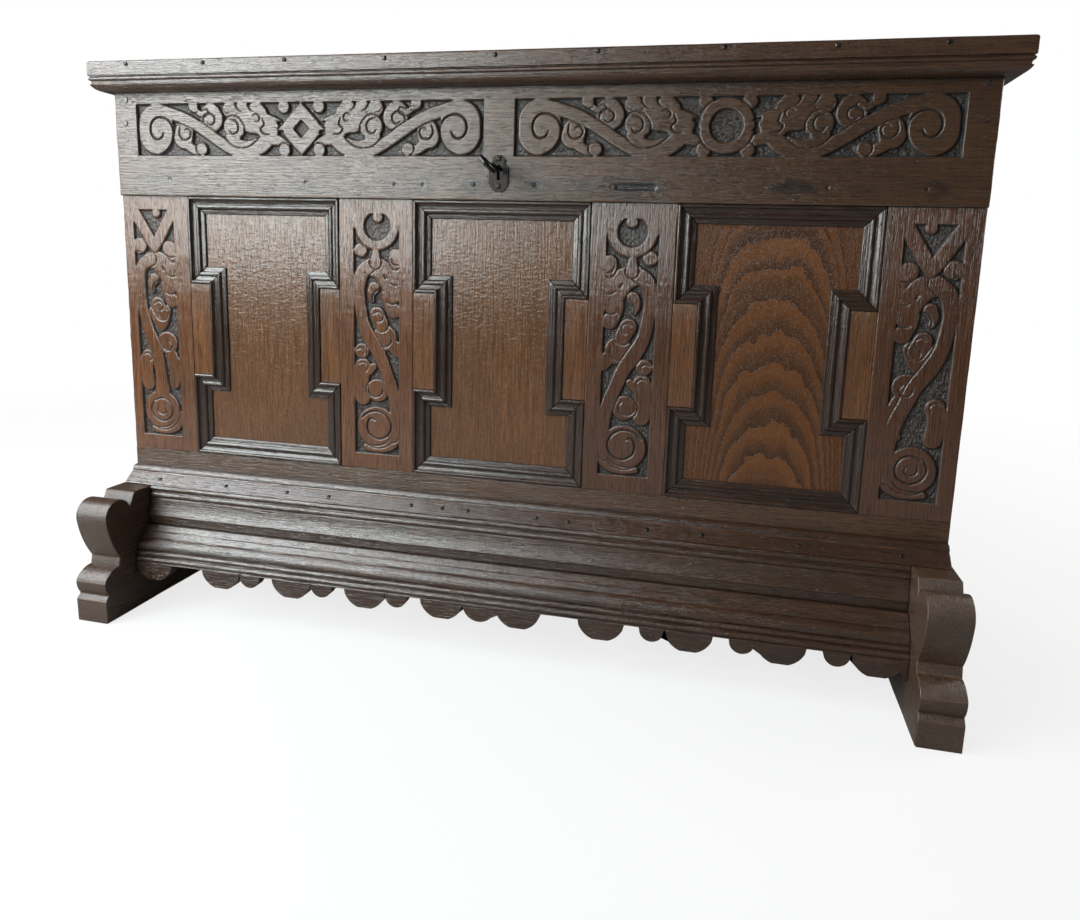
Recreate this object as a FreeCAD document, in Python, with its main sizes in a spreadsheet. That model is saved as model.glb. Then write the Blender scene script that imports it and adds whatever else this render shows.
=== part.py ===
import FreeCAD, Part
import math
import os
from types import SimpleNamespace

import Sketcher

# Joined oak coffer on two sledge feet, with a panelled front, a moulded plinth and a strap-hinged
# lid.  Frame: +X to the chest's right seen from the front, the front faces -Y, +Z up, and the
# origin lies on the floor under the middle of the whole chest.

SIZES = {
    # carcase
    "bodyWidth": 1240,
    "bodyDepth": 520,
    "frameThick": 28,
    "sideThick": 28,
    "backThick": 22,
    "sillHeight": 243,
    "panelHeight": 404,
    "topRailHeight": 171.7,
    "topRailProud": 5,
    "stileWidth": 115,
    "muntinWidth": 117,
    "panelLeftWidth": 254,
    "panelCentreWidth": 260.5,
    "postWidth": 75,
    # joints between the members
    "panelSetBack": 9,
    "panelThick": 10,
    "grooveDepth": 8,
    "panelPlay": 1,
    "tenonThick": 9,
    "tenonWidth": 75,
    "tenonLength": 40,
    "tenonSetBack": 10,
    "pegRadius": 4.5,
    "pegLength": 36,
    "pegProud": 1.2,
    # front panels: the mitred moulding and the blocks that it turns round
    "mouldingWidth": 26,
    "mouldingHeight": 10.5,
    "blockWidth": 33,
    "blockHeight": 143,
    "blockDrop": 132.5,
    "blockThick": 8.2,
    "mitreGap": 0.15,
    # sunk grounds of the carving
    "friezeSink": 5,
    "friezeLow": 60,
    "friezeHigh": 135,
    "friezeEnd": 37.5,
    "friezeLeftEnd": -28.7,
    "friezeRightStart": 16.7,
    "stileSink": 4,
    "stileFieldWidth": 71,
    "stileFieldLow": 24,
    "stileFieldHigh": 21.5,
    # plinth
    "plinthRise": 25,
    "plinthReach": 31.4,
    "plinthMouldHeight": 60,
    "apronHeight": 80,
    "apronReach": 73,
    "apronThick": 17,
    "lobeRise": 26,
    "lobeFlank": 7,
    "lobeWide": 65,
    "lobeWideRadius": 34,
    "lobeNarrow": 35,
    "lobeNarrowRadius": 17.2,
    "lobeCentre": 49,
    "lobeCentreRadius": 24.6,
    "lobeCentreStart": -27,
    "lobeGap": 20,
    "lobePlain": 54,
    # sledge feet
    "footHeight": 190,
    "footThick": 54,
    "footInside": 570,
    "footReach": 138,
    # floor
    "floorThick": 20,
    "bearerHeight": 17,
    "bearerWidth": 30,
    # lid
    "lidGap": 0.3,
    "lidThick": 24,
    "lidBackReach": 12,
    "lidMouldWidth": 24.5,
    "lidMouldDrop": 20.5,
    "lidMouldStep": 2,
    "capClearance": 0.5,
    "cleatWidth": 58,
    "boardGap": 0.6,
    # strap hinges
    "hingeOffset": 400,
    "strapLength": 390,
    "strapWidth": 36,
    "strapThick": 3,
    "leafLength": 130,
    "knuckleRadius": 5.5,
    "knuckleWidth": 12.2,
    "knuckleGap": 0.4,
    "pinRadius": 2.5,
    "pinPlay": 0.08,
    "notchPlay": 0.6,
    # lock
    "keyX": -5,
    "keyHeight": 690,
    "keyShankRadius": 3,
    "keyReach": 42,
    "bowRadius": 13.5,
    "bowWire": 2.6,
    "bitLength": 14,
    "bitWidth": 8,
    "bitThick": 3,
    "keyRest": 45,
    "keyholeRadius": 4.6,
    "keyholeSlot": 4.8,
    "keyholeDrop": 15.5,
    "lockWidth": 150,
    "lockHeight": 148,
    "lockDepth": 24,
    "lockPlate": 2,
    "boltThick": 4,
    "boltSetBack": 9.5,
    "stapleHeight": 74,
    "stapleWidth": 13,
    "stapleBar": 3.5,
    "escutcheonWidth": 28,
    "escutcheonHeight": 50,
    "escutcheonThick": 1.6,
    # nails
    "nailHead": 4,
    "nailRise": 1.6,
    "nailShank": 1.6,
    "nailLength": 16,
    "rivetRadius": 3.2,
}

document = FreeCAD.newDocument("CofferChest")
sheet = document.addObject("Spreadsheet::Sheet", "Sizes")
for row, (alias, number) in enumerate(SIZES.items(), start=1):
    sheet.set(f"A{row}", alias)
    sheet.set(f"B{row}", str(number))
    sheet.setAlias(f"B{row}", alias)
document.recompute()


class Length:
    """A size in millimetres together with the sheet formula that gives it."""

    def __init__(self, value, formula=None):
        self.value = float(value)
        self.formula = formula or f"({float(value)!r})"

    def __add__(self, other):
        other = length(other)
        return Length(self.value + other.value, f"({self.formula} + {other.formula})")

    def __sub__(self, other):
        other = length(other)
        return Length(self.value - other.value, f"({self.formula} - {other.formula})")

    def __mul__(self, number):
        return Length(self.value * number, f"({self.formula} * {float(number)!r})")

    def __truediv__(self, number):
        return Length(self.value / number, f"({self.formula} / {float(number)!r})")

    def __neg__(self):
        return Length(-self.value, f"(0 - {self.formula})")

    def __radd__(self, other):
        return length(other) + self

    def __rsub__(self, other):
        return length(other) - self

    __rmul__ = __mul__


def length(value):
    return value if isinstance(value, Length) else Length(value)


s = SimpleNamespace(**{alias: Length(sheet.get(alias), f"Sizes.{alias}") for alias in SIZES})

halfWidth = s.bodyWidth / 2
front = s.footReach - (s.footReach + s.bodyDepth + s.lidBackReach) / 2
back = front + s.bodyDepth
rearEnd = back + s.lidBackReach
frameBack = front + s.frameThick
sideInside = halfWidth - s.sideThick
backInside = back - s.backThick
panelTop = s.sillHeight + s.panelHeight
carcaseTop = panelTop + s.topRailHeight
lidBottom = carcaseTop + s.lidGap
lidTop = lidBottom + s.lidThick
friezeFace = front - s.topRailProud

subparts = []


def subpart(piece, label):
    piece.Label = label
    subparts.append(piece)
    return piece


def bind(piece, setting, value):
    piece.setExpression(setting, length(value).formula)


def move(piece, corner):
    for axis, value in zip("xyz", corner):
        bind(piece, f"Placement.Base.{axis}", value)


# ---- plain and jointed boards ---------------------------------------------------------------


def board(name, low, high):
    """A squared board between its lowest and its highest corner."""
    piece = document.addObject("Part::Box", name)
    for side, start, end in zip(("Length", "Width", "Height"), low, high):
        bind(piece, side, length(end) - start)
    move(piece, low)
    return piece


def rod(name, radius, reach, start):
    """A round bar that starts at a point and runs along -Y."""
    piece = document.addObject("Part::Cylinder", name)
    bind(piece, "Radius", radius)
    bind(piece, "Height", reach)
    piece.Placement.Rotation = FreeCAD.Rotation(FreeCAD.Vector(1, 0, 0), 90)
    move(piece, start)
    return piece


def crossbar(name, radius, reach, start):
    """A round bar that starts at a point and runs along +X."""
    piece = document.addObject("Part::Cylinder", name)
    bind(piece, "Radius", radius)
    bind(piece, "Height", reach)
    piece.Placement.Rotation = FreeCAD.Rotation(FreeCAD.Vector(0, 1, 0), 90)
    move(piece, start)
    return piece


def together(name, pieces):
    """One solid from pieces that overlap or touch."""
    fused = document.addObject("Part::MultiFuse", name)
    fused.Shapes = pieces
    fused.Refine = True
    return fused


def group(name, pieces):
    """Separate solids kept as one named piece."""
    gathered = document.addObject("Part::Compound", name)
    gathered.Links = pieces
    return gathered


def cut(name, stock, tools):
    result = document.addObject("Part::Cut", name)
    result.Base = stock
    result.Tool = tools[0] if len(tools) == 1 else together(f"{name}_tools", tools)
    return result


# ---- sketched pieces ------------------------------------------------------------------------


def body_at(name, corner=(0, 0, 0), turn=0):
    """A body at a corner, turned about the upright axis."""
    body = document.addObject("PartDesign::Body", name)
    body.Placement.Rotation = FreeCAD.Rotation(FreeCAD.Vector(0, 0, 1), turn)
    move(body, corner)
    return body


def sketch_on(body, plane, name, raised=0):
    """A sketch on one of the body's own planes, raised along that plane's normal."""
    sketch = body.newObject("Sketcher::SketchObject", name)
    support = next(item for item in body.Origin.OriginFeatures if item.Role == plane)
    sketch.AttachmentSupport = [(support, "")]
    sketch.MapMode = "FlatFace"
    bind(sketch, "AttachmentOffset.Base.z", raised)
    return sketch


def arc_between(start, end, radius):
    """The short arc between two points: counter-clockwise where the radius is positive."""
    chord = end - start
    half = chord.Length / 2
    rise = math.sqrt(max(radius * radius - half * half, 0))
    side = FreeCAD.Vector(-chord.y, chord.x, 0).normalize() * math.copysign(rise, radius)
    centre = (start + end) / 2 + side
    first, last = (start, end) if radius > 0 else (end, start)
    angles = [math.atan2(point.y - centre.y, point.x - centre.x) for point in (first, last)]
    circle = Part.Circle(centre, FreeCAD.Vector(0, 0, 1), abs(radius))
    return Part.ArcOfCircle(circle, angles[0], angles[1])


def fix(sketch, edge, end, point):
    """Tie one end of an edge to its place with two driven distances."""
    for kind, axis, value in zip(("DistanceX", "DistanceY"), (-2, -1), point[:2]):
        if length(value).value == 0:
            sketch.addConstraint(Sketcher.Constraint("PointOnObject", edge, end, axis))
        else:
            index = sketch.addConstraint(Sketcher.Constraint(kind, edge, end, length(value).value))
            bind(sketch, f"Constraints[{index}]", value)


def draw(sketch, points):
    """Close an outline through points (x, y), or (x, y, radius) at the end of an arc."""
    ends = [FreeCAD.Vector(length(p[0]).value, length(p[1]).value, 0) for p in points]
    edges = []
    for index, point in enumerate(points):
        if len(point) == 2:
            edge = sketch.addGeometry(Part.LineSegment(ends[index - 1], ends[index]))
            edges.append((edge, 1, 2))
            continue
        radius = length(point[2])
        edge = sketch.addGeometry(arc_between(ends[index - 1], ends[index], radius.value))
        # an arc's own direction is counter-clockwise, so its ends swap on a clockwise stretch
        edges.append((edge, 1, 2) if radius.value > 0 else (edge, 2, 1))
        size = sketch.addConstraint(Sketcher.Constraint("Radius", edge, abs(radius.value)))
        bind(sketch, f"Constraints[{size}]", radius if radius.value > 0 else -radius)
    for (edge, _, last), (following, first, _), point in zip(edges, edges[1:] + edges[:1], points):
        sketch.addConstraint(Sketcher.Constraint("Coincident", edge, last, following, first))
        fix(sketch, edge, last, point)


def rectangle(sketch, low, high):
    draw(sketch, [(low[0], low[1]), (high[0], low[1]), (high[0], high[1]), (low[0], high[1])])


def hole(sketch, centre, radius):
    point = FreeCAD.Vector(length(centre[0]).value, length(centre[1]).value, 0)
    circle = Part.Circle(point, FreeCAD.Vector(0, 0, 1), length(radius).value)
    edge = sketch.addGeometry(circle)
    fix(sketch, edge, 3, centre)
    index = sketch.addConstraint(Sketcher.Constraint("Radius", edge, length(radius).value))
    bind(sketch, f"Constraints[{index}]", radius)


def pad(body, sketch, name, height, reversed_way=False):
    feature = body.newObject("PartDesign::Pad", name)
    feature.Profile = sketch
    bind(feature, "Length", height)
    feature.Reversed = reversed_way
    return feature


def pocket(body, sketch, name, depth=None, reversed_way=False):
    feature = body.newObject("PartDesign::Pocket", name)
    feature.Profile = sketch
    if depth is None:
        feature.Type = "ThroughAll"
    else:
        bind(feature, "Length", depth)
    feature.Reversed = reversed_way
    return feature


def moulded(name, outline, run, corner, turn=0, mitres=(False, False)):
    """A length of moulding that runs along the body's X.

    Its outline is (reach, height), or (reach, height, radius) at the end of an arc, read with
    the reach to the right: up the face, a positive radius swells and a negative one hollows.
    """
    body = body_at(name, corner, turn)
    profile = sketch_on(body, "YZ_Plane", f"{name}_profile")
    draw(profile, [(-length(reach), height, *(-length(radius) for radius in arc))
                   for reach, height, *arc in outline])
    pad(body, profile, f"{name}_run", run)
    if any(mitres):
        width = s.lidMouldWidth
        corners = sketch_on(body, "XY_Plane", f"{name}_mitres")
        if mitres[0]:
            draw(corners, [(0, 0), (width, 0), (0, -width)])
        if mitres[1]:
            draw(corners, [(run, 0), (run - width, 0), (run, -width)])
        pocket(body, corners, f"{name}_mitre", reversed_way=True)
    return body


def nail(name, head, turn=90):
    """A forged nail: a four-faceted head hammered on to the surface and a square shank.

    The head looks along -Y at a turn of 90 degrees, down at 180 and along +Y at 270.
    """
    facets = document.addObject("Part::Wedge", f"{name}_head")
    for low, high, half in (
        ("Xmin", "Xmax", s.nailHead),
        ("Zmin", "Zmax", s.nailHead),
        ("X2min", "X2max", s.nailHead * 0.4),
        ("Z2min", "Z2max", s.nailHead * 0.4),
    ):
        bind(facets, low, -half)
        bind(facets, high, half)
    bind(facets, "Ymin", 0)
    bind(facets, "Ymax", s.nailRise)
    shank = document.addObject("Part::Prism", f"{name}_shank")
    shank.Polygon = 4
    bind(shank, "Circumradius", s.nailShank)
    bind(shank, "Height", s.nailLength)
    for piece, angle in ((facets, turn + 90), (shank, turn + 180)):
        piece.Placement.Rotation = FreeCAD.Rotation(FreeCAD.Vector(1, 0, 0), angle)
        move(piece, head)
    return together(name, [facets, shank])


# ---- front frame ----------------------------------------------------------------------------

panelEdges = {
    "left": (s.stileWidth - halfWidth, s.stileWidth - halfWidth + s.panelLeftWidth),
}
panelEdges["centre"] = (
    panelEdges["left"][1] + s.muntinWidth,
    panelEdges["left"][1] + s.muntinWidth + s.panelCentreWidth,
)
panelEdges["right"] = (panelEdges["centre"][1] + s.muntinWidth, halfWidth - s.stileWidth)

members = {
    "front_stile_left": (-halfWidth, panelEdges["left"][0]),
    "front_muntin_left": (panelEdges["left"][1], panelEdges["centre"][0]),
    "front_muntin_right": (panelEdges["centre"][1], panelEdges["right"][0]),
    "front_stile_right": (panelEdges["right"][1], halfWidth),
}

# the carver's fields don't stand quite in the middle of their members
fieldShift = {
    "front_stile_left": -4.5,
    "front_muntin_left": 1,
    "front_muntin_right": 0,
    "front_stile_right": 1.5,
}

grooveFront = front + s.panelSetBack
grooveBack = grooveFront + s.panelThick
tenonFront = front + s.tenonSetBack
tenonBack = tenonFront + s.tenonThick


def tenon_span(low, high):
    """The tenon stands in the middle of its member's width."""
    middle = (low + high) / 2
    return middle - s.tenonWidth / 2, middle + s.tenonWidth / 2


def front_upright(name, low, high):
    """A stile or muntin: tenons at both ends, panel grooves, and the sunk ground of its carving."""
    tenonLow, tenonHigh = tenon_span(low, high)
    stock = together(f"{name}_stock", [
        board(f"{name}_body", (low, front, s.sillHeight), (high, frameBack, panelTop)),
        board(
            f"{name}_tenons",
            (tenonLow, tenonFront, s.sillHeight - s.tenonLength),
            (tenonHigh, tenonBack, panelTop + s.tenonLength),
        ),
    ])
    fieldLow = (low + high - s.stileFieldWidth) / 2 + fieldShift[name]
    tools = [board(
        f"{name}_ground",
        (fieldLow, front - 1, s.sillHeight + s.stileFieldLow),
        (fieldLow + s.stileFieldWidth, front + s.stileSink, panelTop - s.stileFieldHigh),
    )]
    for side, edge, outward in (("left", low, -1), ("right", high, 1)):
        if abs(edge.value) < halfWidth.value:
            inner = edge - outward * s.grooveDepth
            span = (inner, edge + 1) if outward > 0 else (edge - 1, inner)
            tools.append(board(
                f"{name}_groove_{side}",
                (span[0], grooveFront, s.sillHeight - 1),
                (span[1], grooveBack, panelTop + 1),
            ))
    return subpart(cut(name, stock, tools), name)


for name, (low, high) in members.items():
    front_upright(name, low, high)


def keyhole_outline(sketch, centre, middle):
    """A round eye with a straight slot below it."""
    half = s.keyholeSlot / 2
    drop = math.sqrt(s.keyholeRadius.value ** 2 - half.value ** 2)
    neck = middle - drop
    slotEnd = middle - s.keyholeDrop
    crown = s.keyholeRadius
    draw(sketch, [
        (centre - half, neck, crown),
        (centre - half, slotEnd),
        (centre + half, slotEnd),
        (centre + half, neck),
        (centre + crown, middle, crown),
        (centre, middle + crown, crown),
        (centre - crown, middle, crown),
    ])


def top_rail():
    """The frieze board: it covers the stiles' tops, and holds the carving, lock and keyhole."""
    name = "front_top_rail"
    body = body_at(name, (-halfWidth, frameBack, panelTop))
    thick = s.frameThick + s.topRailProud
    section = sketch_on(body, "YZ_Plane", f"{name}_section")
    rectangle(section, (-thick, 0), (0, s.topRailHeight))
    pad(body, section, f"{name}_board", s.bodyWidth)

    fields = sketch_on(body, "XZ_Plane", f"{name}_fields", thick)
    rectangle(fields, (s.friezeEnd, s.friezeLow), (halfWidth + s.friezeLeftEnd, s.friezeHigh))
    rectangle(fields, (halfWidth + s.friezeRightStart, s.friezeLow),
              (s.bodyWidth - s.friezeEnd, s.friezeHigh))
    pocket(body, fields, f"{name}_ground", s.friezeSink)

    # the panels' groove and the uprights' mortises in the lower edge
    setBack = s.frameThick - s.panelSetBack
    grooves = sketch_on(body, "XY_Plane", f"{name}_grooves")
    for low, high in panelEdges.values():
        rectangle(grooves, (low + halfWidth - s.grooveDepth, -setBack),
                  (high + halfWidth + s.grooveDepth, s.panelThick - setBack))
    pocket(body, grooves, f"{name}_groove", s.grooveDepth, reversed_way=True)
    mortises = sketch_on(body, "XY_Plane", f"{name}_mortises")
    cheek = s.tenonSetBack - s.frameThick
    for low, high in members.values():
        tenonLow, tenonHigh = tenon_span(low, high)
        rectangle(mortises, (tenonLow + halfWidth, cheek), (tenonHigh + halfWidth, cheek + s.tenonThick))
    pocket(body, mortises, f"{name}_mortise", s.tenonLength, reversed_way=True)

    keyhole = sketch_on(body, "XZ_Plane", f"{name}_keyhole", thick)
    keyhole_outline(keyhole, halfWidth + s.keyX, s.keyHeight - panelTop)
    pocket(body, keyhole, f"{name}_keyway")
    return subpart(body, name)


top_rail()


def bottom_rail():
    name = "front_bottom_rail"
    stock = board(f"{name}_body", (-halfWidth, front, s.footHeight), (halfWidth, frameBack, s.sillHeight))
    tools = []
    for index, (low, high) in enumerate(panelEdges.values()):
        tools.append(board(
            f"{name}_groove_{index}",
            (low - s.grooveDepth, grooveFront, s.sillHeight - s.grooveDepth),
            (high + s.grooveDepth, grooveBack, s.sillHeight + 1),
        ))
    for index, (low, high) in enumerate(members.values()):
        tenonLow, tenonHigh = tenon_span(low, high)
        tools.append(board(
            f"{name}_mortise_{index}",
            (tenonLow, tenonFront, s.sillHeight - s.tenonLength),
            (tenonHigh, tenonBack, s.sillHeight + 1),
        ))
    return subpart(cut(name, stock, tools), name)


bottom_rail()

for side, (low, high) in panelEdges.items():
    reach = s.grooveDepth - s.panelPlay
    subpart(board(
        f"front_panel_{side}",
        (low - reach, grooveFront, s.sillHeight - reach),
        (high + reach, grooveBack, panelTop + reach),
    ), f"front_panel_{side}")


# ---- mitred mouldings and blocks on the front panels ----------------------------------------


def panel_moulding(side, low, high):
    """Twelve mitred strips that lie round a panel and step in round the block on each side."""
    name = f"panel_moulding_{side}"
    foot = s.sillHeight
    blockTop = panelTop - s.blockDrop
    blockFoot = blockTop - s.blockHeight
    body = body_at(name, (0, grooveFront, 0))

    # corners anticlockwise seen from the front, each with the way its mitre points inwards
    corners = [
        (low, foot, 1, 1), (high, foot, -1, 1),
        (high, blockFoot, -1, -1), (high - s.blockWidth, blockFoot, -1, -1),
        (high - s.blockWidth, blockTop, -1, 1), (high, blockTop, -1, 1),
        (high, panelTop, -1, -1), (low, panelTop, 1, -1),
        (low, blockTop, 1, 1), (low + s.blockWidth, blockTop, 1, 1),
        (low + s.blockWidth, blockFoot, 1, -1), (low, blockFoot, 1, -1),
    ]
    middle = (low + high) / 2
    path = sketch_on(body, "XZ_Plane", f"{name}_path")
    draw(path, [(middle, foot)] + [(x, z) for x, z, _, _ in corners[1:] + corners[:1]])

    rise = s.mouldingHeight
    width = s.mouldingWidth
    profile = sketch_on(body, "YZ_Plane", f"{name}_profile", middle)
    draw(profile, [(-height, foot + reach, *radius) for reach, height, *radius in (
        (0, 0),
        (0, rise - 1.2),
        (1.2, rise),
        (3.6, rise),
        (4.8, rise - 1.2),
        (5.2, rise - 3),
        (11.4, rise - 5.4, 9),
        (12, rise - 4.6),
        (18.6, rise - 5.4, -4.4),
        (19.4, rise - 7),
        (21.4, rise - 7.4),
        (24.8, rise - 7.8),
        (width, rise - 9),
        (width, 0),
    )])
    ring = body.newObject("PartDesign::AdditivePipe", f"{name}_ring")
    ring.Profile = profile
    ring.Spine = (path, [])
    ring.Transition = "Right corner"

    # the saw cuts of the mitres part the ring into its strips
    mitres = sketch_on(body, "XZ_Plane", f"{name}_mitres")
    gap = s.mitreGap
    for x, z, across, up in corners:
        inwardX, inwardZ = x + width * across, z + width * up
        draw(mitres, [
            (x - across + gap * up, z - up - gap * across),
            (inwardX + across + gap * up, inwardZ + up - gap * across),
            (inwardX + across - gap * up, inwardZ + up + gap * across),
            (x - across - gap * up, z - up + gap * across),
        ])
    pocket(body, mitres, f"{name}_saw", reversed_way=True)
    return subpart(body, name)


for side, (low, high) in panelEdges.items():
    panel_moulding(side, low, high)

blocks = []
blockTop = panelTop - s.blockDrop
for side, (low, high) in panelEdges.items():
    for hand, start in (("left", low), ("right", high - s.blockWidth)):
        blocks.append(board(
            f"panel_block_{side}_{hand}",
            (start, grooveFront - s.blockThick, blockTop - s.blockHeight),
            (start + s.blockWidth, grooveFront, blockTop),
        ))
subpart(group("panel_blocks", blocks), "panel_blocks")


# ---- moulded plinth ---------------------------------------------------------------------------

# the sloping fascia covers the bottom rail and the ends of the feet
subpart(moulded("plinth_fascia", [
    (0, 0),
    (s.plinthReach, 0),
    (13.5, 15),
    (11.6, 15.2),
    (11.6, 16.4),
    (4, s.plinthRise, 8),
    (0, s.plinthRise),
], s.bodyWidth, (-halfWidth, front, s.footHeight)), "plinth_fascia")

# two beads, a hollow that comes forward to a sharp arris, and a shaded step under it
mouldTop = s.plinthMouldHeight
subpart(moulded("plinth_moulding", [
    (0, 0),
    (38.5, 0),
    (38.5, mouldTop - 47.6),
    (42, mouldTop - 46.2),
    (42, mouldTop - 44.6),
    (34.6, mouldTop - 20.4, -46),
    (33.4, mouldTop - 20),
    (33.4, mouldTop - 19),
    (32.2, mouldTop - 10.4, 5),
    (31.2, mouldTop - 10),
    (31.2, mouldTop - 9),
    (29.6, mouldTop, 5),
    (0, mouldTop),
], s.footInside * 2, (-s.footInside, front, s.footHeight - mouldTop)), "plinth_moulding")


def plinth_apron():
    """The lowest board: fillets, a broad swelling and two beads above a row of scallops."""
    name = "plinth_apron"
    top = s.apronHeight
    face = s.apronReach
    body = moulded(name, [
        (face - s.apronThick, 0),
        (face, 0),
        (face, 27),
        (face - 1.6, 28),
        (face - 3, 36.6, 4.8),
        (face - 4.2, 37.2),
        (face - 5.6, 45, 4.4),
        (face - 6.8, 45.6),
        (face - 5.2, 46.6),
        (face - 14, 62.8, 14),
        (face - 15.4, 63),
        (face - 15.4, 64.4),
        (face - 20.4, 71.2),
        (face - 21.6, 71.4),
        (face - 21.6, 72.8),
        (face - 28, top),
        (14, top),
        (face - s.apronThick, 26),
    ], s.footInside * 2, (-s.footInside, front, s.footHeight - s.plinthMouldHeight - top))

    # from the middle lobe outwards, with plain stretches between pairs of lobes
    spans = {
        "wide": (s.lobeWide, s.lobeWideRadius),
        "narrow": (s.lobeNarrow, s.lobeNarrowRadius),
        "centre": (s.lobeCentre, s.lobeCentreRadius),
        "gap": (s.lobeGap, None),
        "plain": (s.lobePlain, None),
    }
    toRight = ["wide", "plain", "wide"] + ["gap", "narrow", "wide"] * 3
    toLeft = ["wide"] + ["gap", "narrow", "wide"] * 3 + ["plain", "wide"]
    leftEnd = s.lobeCentreStart
    for kind in toLeft:
        leftEnd = leftEnd - spans[kind][0]

    # the flanks of each lobe drop almost straight before its round
    flankIn = 1.2
    place = leftEnd + s.footInside
    edge = [(place, -1), (place, s.lobeRise)]
    for kind in [*reversed(toLeft), "centre", *toRight]:
        width, radius = spans[kind]
        if radius:
            edge.append((place + flankIn, s.lobeRise - s.lobeFlank))
            edge.append((place + width - flankIn, s.lobeRise - s.lobeFlank, radius))
        place = place + width
        edge.append((place, s.lobeRise))
    edge.append((place, -1))

    scallops = sketch_on(body, "XZ_Plane", f"{name}_scallops")
    draw(scallops, edge)
    pocket(body, scallops, f"{name}_scallop_cut", reversed_way=True)
    return subpart(body, name)


plinth_apron()


# ---- sledge feet ------------------------------------------------------------------------------

footEnd = -(s.bodyDepth + s.lidBackReach)
for side, start in (("left", -(s.footInside + s.footThick)), ("right", s.footInside)):
    name = f"sledge_foot_{side}"
    subpart(moulded(name, [
        (footEnd, 0),
        (s.footReach, 0),
        (s.footReach, 36),
        (s.footReach - 7, 43),
        (s.footReach - 0.5, 66, 30),
        (s.footReach - 31, 82, 36),
        (s.footReach - 33.5, 94),
        (s.footReach - 9, 157, 160),
        (s.footReach - 61, 169.5, 27),
        (s.footReach - 70.5, s.footHeight),
        (footEnd, s.footHeight),
    ], s.footThick, (start, front, 0)), name)


# ---- side frames ------------------------------------------------------------------------------


def across(sign, inner, outer):
    """The lowest and the highest X of a piece on the left (-1) or the right (1)."""
    return (inner, outer) if sign > 0 else (-outer, -inner)


postFront = (frameBack, frameBack + s.postWidth)
postBack = (backInside - s.postWidth, backInside)
sidePanelOuter = halfWidth - s.panelSetBack
sidePanelInner = sidePanelOuter - s.panelThick

for side, sign in (("left", -1), ("right", 1)):
    low, high = across(sign, sideInside, halfWidth)
    grooveLow, grooveHigh = across(sign, sidePanelInner, sidePanelOuter)
    tenonOuter = halfWidth - s.tenonSetBack
    tenonLow, tenonHigh = across(sign, tenonOuter - s.tenonThick, tenonOuter)
    railHeights = {
        "top": (panelTop, carcaseTop),
        "bottom": (s.footHeight, s.sillHeight),
    }
    tenonHeights = {
        "top": (panelTop + 30, carcaseTop - 40),
        "bottom": (s.footHeight + 8, s.sillHeight - 12),
    }

    for end, (start, stop), inward in (("front", postFront, 1), ("back", postBack, -1)):
        name = f"side_post_{end}_{side}"
        joint = stop if inward > 0 else start
        tools = [board(
            f"{name}_groove",
            (grooveLow, joint - s.grooveDepth, s.sillHeight - s.grooveDepth),
            (grooveHigh, joint + s.grooveDepth, panelTop + s.grooveDepth),
        )]
        for level, (foot, top) in tenonHeights.items():
            tools.append(board(
                f"{name}_mortise_{level}",
                (tenonLow, joint - s.tenonLength, foot),
                (tenonHigh, joint + s.tenonLength, top),
            ))
        stock = board(f"{name}_body", (low, start, s.footHeight), (high, stop, carcaseTop))
        subpart(cut(name, stock, tools), name)

    for level, (foot, top) in railHeights.items():
        name = f"side_rail_{level}_{side}"
        tenonFoot, tenonTop = tenonHeights[level]
        stock = together(f"{name}_stock", [
            board(f"{name}_body", (low, postFront[1], foot), (high, postBack[0], top)),
            board(
                f"{name}_tenons",
                (tenonLow, postFront[1] - s.tenonLength, tenonFoot),
                (tenonHigh, postBack[0] + s.tenonLength, tenonTop),
            ),
        ])
        edge = foot if level == "top" else top
        groove = board(
            f"{name}_groove",
            (grooveLow, postFront[1] - s.grooveDepth, edge - s.grooveDepth),
            (grooveHigh, postBack[0] + s.grooveDepth, edge + s.grooveDepth),
        )
        subpart(cut(name, stock, [groove]), name)

    reach = s.grooveDepth - s.panelPlay
    name = f"side_panel_{side}"
    subpart(board(
        name,
        (grooveLow, postFront[1] - reach, s.sillHeight - reach),
        (grooveHigh, postBack[0] + reach, panelTop + reach),
    ), name)


# ---- back and floor ---------------------------------------------------------------------------

boardHeight = (carcaseTop - s.footHeight) / 3
tongue = 6
tongueFront = backInside + 8
for index, level in enumerate(("lower", "middle", "upper")):
    name = f"back_board_{level}"
    foot = s.footHeight + boardHeight * index
    top = foot + boardHeight
    piece = board(f"{name}_body", (-halfWidth, backInside, foot), (halfWidth, back, top))
    if level != "upper":
        piece = together(f"{name}_tongued", [piece, board(
            f"{name}_tongue",
            (-halfWidth, tongueFront, top),
            (halfWidth, tongueFront + tongue, top + tongue),
        )])
    tools = []
    if level != "lower":
        tools.append(board(
            f"{name}_groove",
            (-halfWidth - 1, tongueFront, foot - 1),
            (halfWidth + 1, tongueFront + tongue, foot + tongue),
        ))
    if level == "upper":
        # the straps pass over the back through two shallow notches
        for side, middle in (("left", -s.hingeOffset), ("right", s.hingeOffset)):
            half = s.strapWidth / 2 + s.notchPlay
            tools.append(board(
                f"{name}_notch_{side}",
                (middle - half, backInside - 1, carcaseTop - s.strapThick - s.notchPlay),
                (middle + half, back + 1, carcaseTop + 1),
            ))
    subpart(cut(name, piece, tools) if tools else piece, name)

bearers = []
for side, sign in (("left", -1), ("right", 1)):
    low, high = across(sign, sideInside - s.bearerWidth, sideInside)
    bearers.append(board(
        f"floor_bearer_{side}",
        (low, frameBack, s.footHeight),
        (high, backInside, s.footHeight + s.bearerHeight),
    ))
subpart(group("floor_bearers", bearers), "floor_bearers")

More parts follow.
